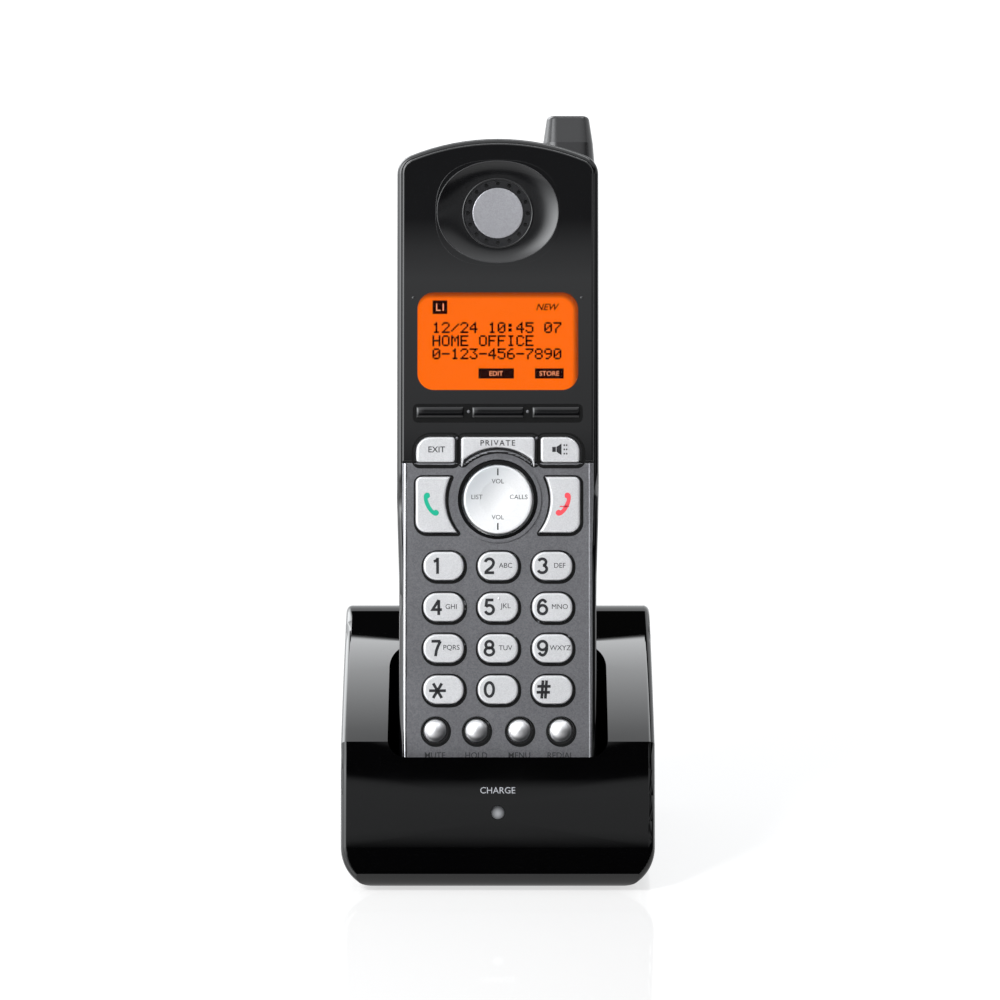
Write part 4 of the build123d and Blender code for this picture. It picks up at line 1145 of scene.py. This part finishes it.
# Small moulded studs on the bezel and between the keys, and the finding nib on the 5 key
studs = {
    "stud_bezel": {"body": "handset", "slot": "antenna_grey", "on": "display_bezel",
                   "radius": 0.5, "rise": 0.3, "deep": 0.6, "places": [(-20.95, 123.4), (20.75, 123.4)]},
    "stud_lower": {"body": "handset", "slot": "fascia_gunmetal", "on": "display_bezel",
                   "radius": 0.4, "rise": 0.35, "deep": 0.5, "places": [(-10.1, 88.5), (9.6, 88.5)]},
    "stud_channel": {"body": "handset", "slot": "fascia_gunmetal", "on": None,
                     "radius": 0.72, "rise": 0.3, "deep": 1.6, "places": [(-7.25, 95.1), (7.37, 95.1)]},
    "nib_five": {"body": "key_5", "slot": "key_silver", "on": "key_5",
                 "radius": 0.36, "rise": 0.28, "deep": 0.4, "places": [(0.25, 48.75)]},
}
studBall = {"segments": 24, "rings": 16}


def studTree():
    # a long half-sunk ball on every given point
    tree, given, result, names = newTree("mouldedStuds", [
        ("Stretch", "NodeSocketVector"), ("Finish", "NodeSocketMaterial"),
    ])
    ball = tree.nodes.new("GeometryNodeMeshUVSphere")
    ball.inputs["Segments"].default_value = studBall["segments"]
    ball.inputs["Rings"].default_value = studBall["rings"]
    smooth = tree.nodes.new("GeometryNodeSetShadeSmooth")
    onPoints = tree.nodes.new("GeometryNodeInstanceOnPoints")
    join(
        tree, (ball, "Mesh", smooth, "Geometry"), (given, "Geometry", onPoints, "Points"),
        (smooth, "Geometry", onPoints, "Instance"), (given, "Stretch", onPoints, "Scale"),
    )
    finishTree(tree, onPoints.outputs["Instances"], given.outputs["Finish"], result)
    return [tree] + names


studNodes, stretchInput, studFinish = studTree()
for name, stud in studs.items():
    start = bpy.data.meshes.new(name + "Places")
    start.from_pydata([(x, height, 0) for x, height in stud["places"]], [], [])
    shaped = bakeTree(name, start, studNodes, {
        stretchInput: (stud["radius"], stud["radius"], stud["deep"]), studFinish: finishes[stud["slot"]],
    })
    floorDepth = surfaceUnder(stud["on"], *stud["places"][0]) if stud["on"] else 0.0
    layOnFace(shaped, floorDepth - stud["rise"] + stud["deep"])
    turnOutwards(shaped)
    placePiece(name, shaped, stud["body"])
print("stage 7: studs,", len(studs))

# Floor, camera and light
stageSizes = {
    "floorHalf": 6.0, "floorGlow": 0.62, "cameraDistance": 1200.0, "cameraLift": 14.0, "lens": 174.8,
    "aimHeight": 73.15, "aimX": 0.54, "seenTo": 50.0,
}
floorMesh = bpy.data.meshes.new("floor")
half = stageSizes["floorHalf"]
floorMesh.from_pydata([(x, y, 0) for x, y in bar(-half, half, -half, half)], [], [(0, 1, 2, 3)])
floorMesh.materials.append(newFinish("floorPale", {
    "Base Color": (0.42, 0.42, 0.42, 1), "Roughness": 0.04,
    "Emission Color": (1, 1, 1, 1), "Emission Strength": stageSizes["floorGlow"],
})[0])
floor = addObject("floor", floorMesh)

camera = addObject("camera", bpy.data.cameras.new("camera"))
camera.data.lens = stageSizes["lens"]
camera.data.clip_end = stageSizes["seenTo"]
lift = math.radians(stageSizes["cameraLift"])
aim = onHandset(stageSizes["aimX"], stageSizes["aimHeight"])
camera.location = aim + Vector((0, -math.cos(lift), math.sin(lift))) * stageSizes["cameraDistance"] * mm
camera.rotation_euler = (math.pi / 2 - lift, 0, 0)
bpy.context.scene.camera = camera

# softboxes stand in the world: brightness against height above the horizon, in degrees
studio = {
    "dome": 0.42,
    "front": [(0, 0.01), (16.2, 0.01), (16.6, 0.5), (20.0, 0.56), (20.4, 0.01), (22.3, 0.01),
              (22.6, 0.7), (24.92, 1.0), (25.02, 0.2), (25.9, 0.2), (31, 0.03), (38, 0.9), (60, 1.6),
              (80, 2.0), (90, 1.0)],
    "rear": [(0, 1.2), (42, 1.2), (44, 0.02), (54.4, 0.02), (55.0, 7.6), (62, 5.2), (75, 2.0), (90, 1.0)],
    "left": [(0, 1.5), (12, 4.0), (24, 9.0), (44, 9.0), (60, 3.0), (90, 1.0)],
    "farLeft": [(0, 2.2), (8, 3.2), (34, 3.2), (40, 1.4), (60, 1.2), (90, 1.0)],
    "leftFrom": 0.25, "leftTo": 0.62, "farFrom": 0.9, "farTo": 0.99,
    "keyPlace": (-330.0, -330.0, 330.0), "keyWidth": 0.14, "keyHeight": 0.14, "keyPower": 2.9,
}
world = bpy.data.worlds.new("studio")
world.use_nodes = True
bpy.context.scene.world = world
sky = world.node_tree


def heightBands(stops):
    ramp = addNode(sky, "ValToRGB")
    brightest = max(value for _, value in stops)
    marks = ramp.color_ramp.elements
    for degrees, _ in stops[1:-1]:
        marks.new(degrees / 90)
    for mark, (degrees, value) in zip(marks, stops):
        mark.color = (value / brightest, value / brightest, value / brightest, 1)
    scaled = addNode(sky, "Math", {1: brightest}, operation="MULTIPLY")
    join(sky, (skyHeight, "Result", ramp, "Fac"), (ramp, "Color", scaled, 0))
    return scaled.outputs[0]


def blendBands(factor, low, high):
    mix = addNode(sky, "Mix", data_type="FLOAT")
    sky.links.new(factor, mix.inputs[0])
    sky.links.new(low, mix.inputs[2])
    sky.links.new(high, mix.inputs[3])
    return mix.outputs[0]


direction = addNode(sky, "TexCoord")
parts = addNode(sky, "SeparateXYZ")
angle = addNode(sky, "Math", operation="ARCSINE")
skyHeight = addNode(sky, "MapRange", {"From Max": math.pi / 2})
join(sky, (direction, "Generated", parts, "Vector"), (parts, "Z", angle, 0), (angle, 0, skyHeight, "Value"))
behind = addNode(sky, "MapRange", {"From Min": -0.03, "From Max": 0.03})
join(sky, (parts, "Y", behind, "Value"))
level = addNode(sky, "VectorMath", {1: (1, 1, 0)}, operation="MULTIPLY")
heading = addNode(sky, "VectorMath", operation="NORMALIZE")
headingParts = addNode(sky, "SeparateXYZ")
leftward = addNode(sky, "MapRange", {
    "From Min": -studio["leftFrom"], "From Max": -studio["leftTo"]
})
join(
    sky, (direction, "Generated", level, 0), (level, "Vector", heading, 0),
    (heading, "Vector", headingParts, "Vector"), (headingParts, "X", leftward, "Value"),
)
frontRear = blendBands(behind.outputs["Result"], heightBands(studio["front"]), heightBands(studio["rear"]))
farther = addNode(sky, "MapRange", {"From Min": -studio["farFrom"], "From Max": -studio["farTo"]})
join(sky, (headingParts, "X", farther, "Value"))
leftSide = blendBands(farther.outputs["Result"], heightBands(studio["left"]), heightBands(studio["farLeft"]))
reflected = blendBands(leftward.outputs["Result"], frontRear, leftSide)
background = sky.nodes["Background"]
lightPath = addNode(sky, "LightPath")
dome = addNode(sky, "Value")
dome.outputs[0].default_value = studio["dome"]
brightness = blendBands(lightPath.outputs["Is Glossy Ray"], dome.outputs[0], reflected)
sky.links.new(brightness, background.inputs["Strength"])
background.inputs["Color"].default_value = (0.965, 0.982, 1.0, 1)

keyLight = addObject("keyLight", bpy.data.lights.new("keyLight", "AREA"))
keyLight.data.shape = "RECTANGLE"
keyLight.data.size = studio["keyWidth"]
keyLight.data.size_y = studio["keyHeight"]
keyLight.data.energy = studio["keyPower"]
keyLight.visible_glossy = False    # its reflection is the left side of the studio
keyLight.location = aim + Vector(studio["keyPlace"]) * mm
keyLight.rotation_euler = (aim - keyLight.location).to_track_quat("-Z", "Y").to_euler()
bpy.context.scene.view_settings.view_transform = "Standard"
print("stage 8: floor, light, camera")
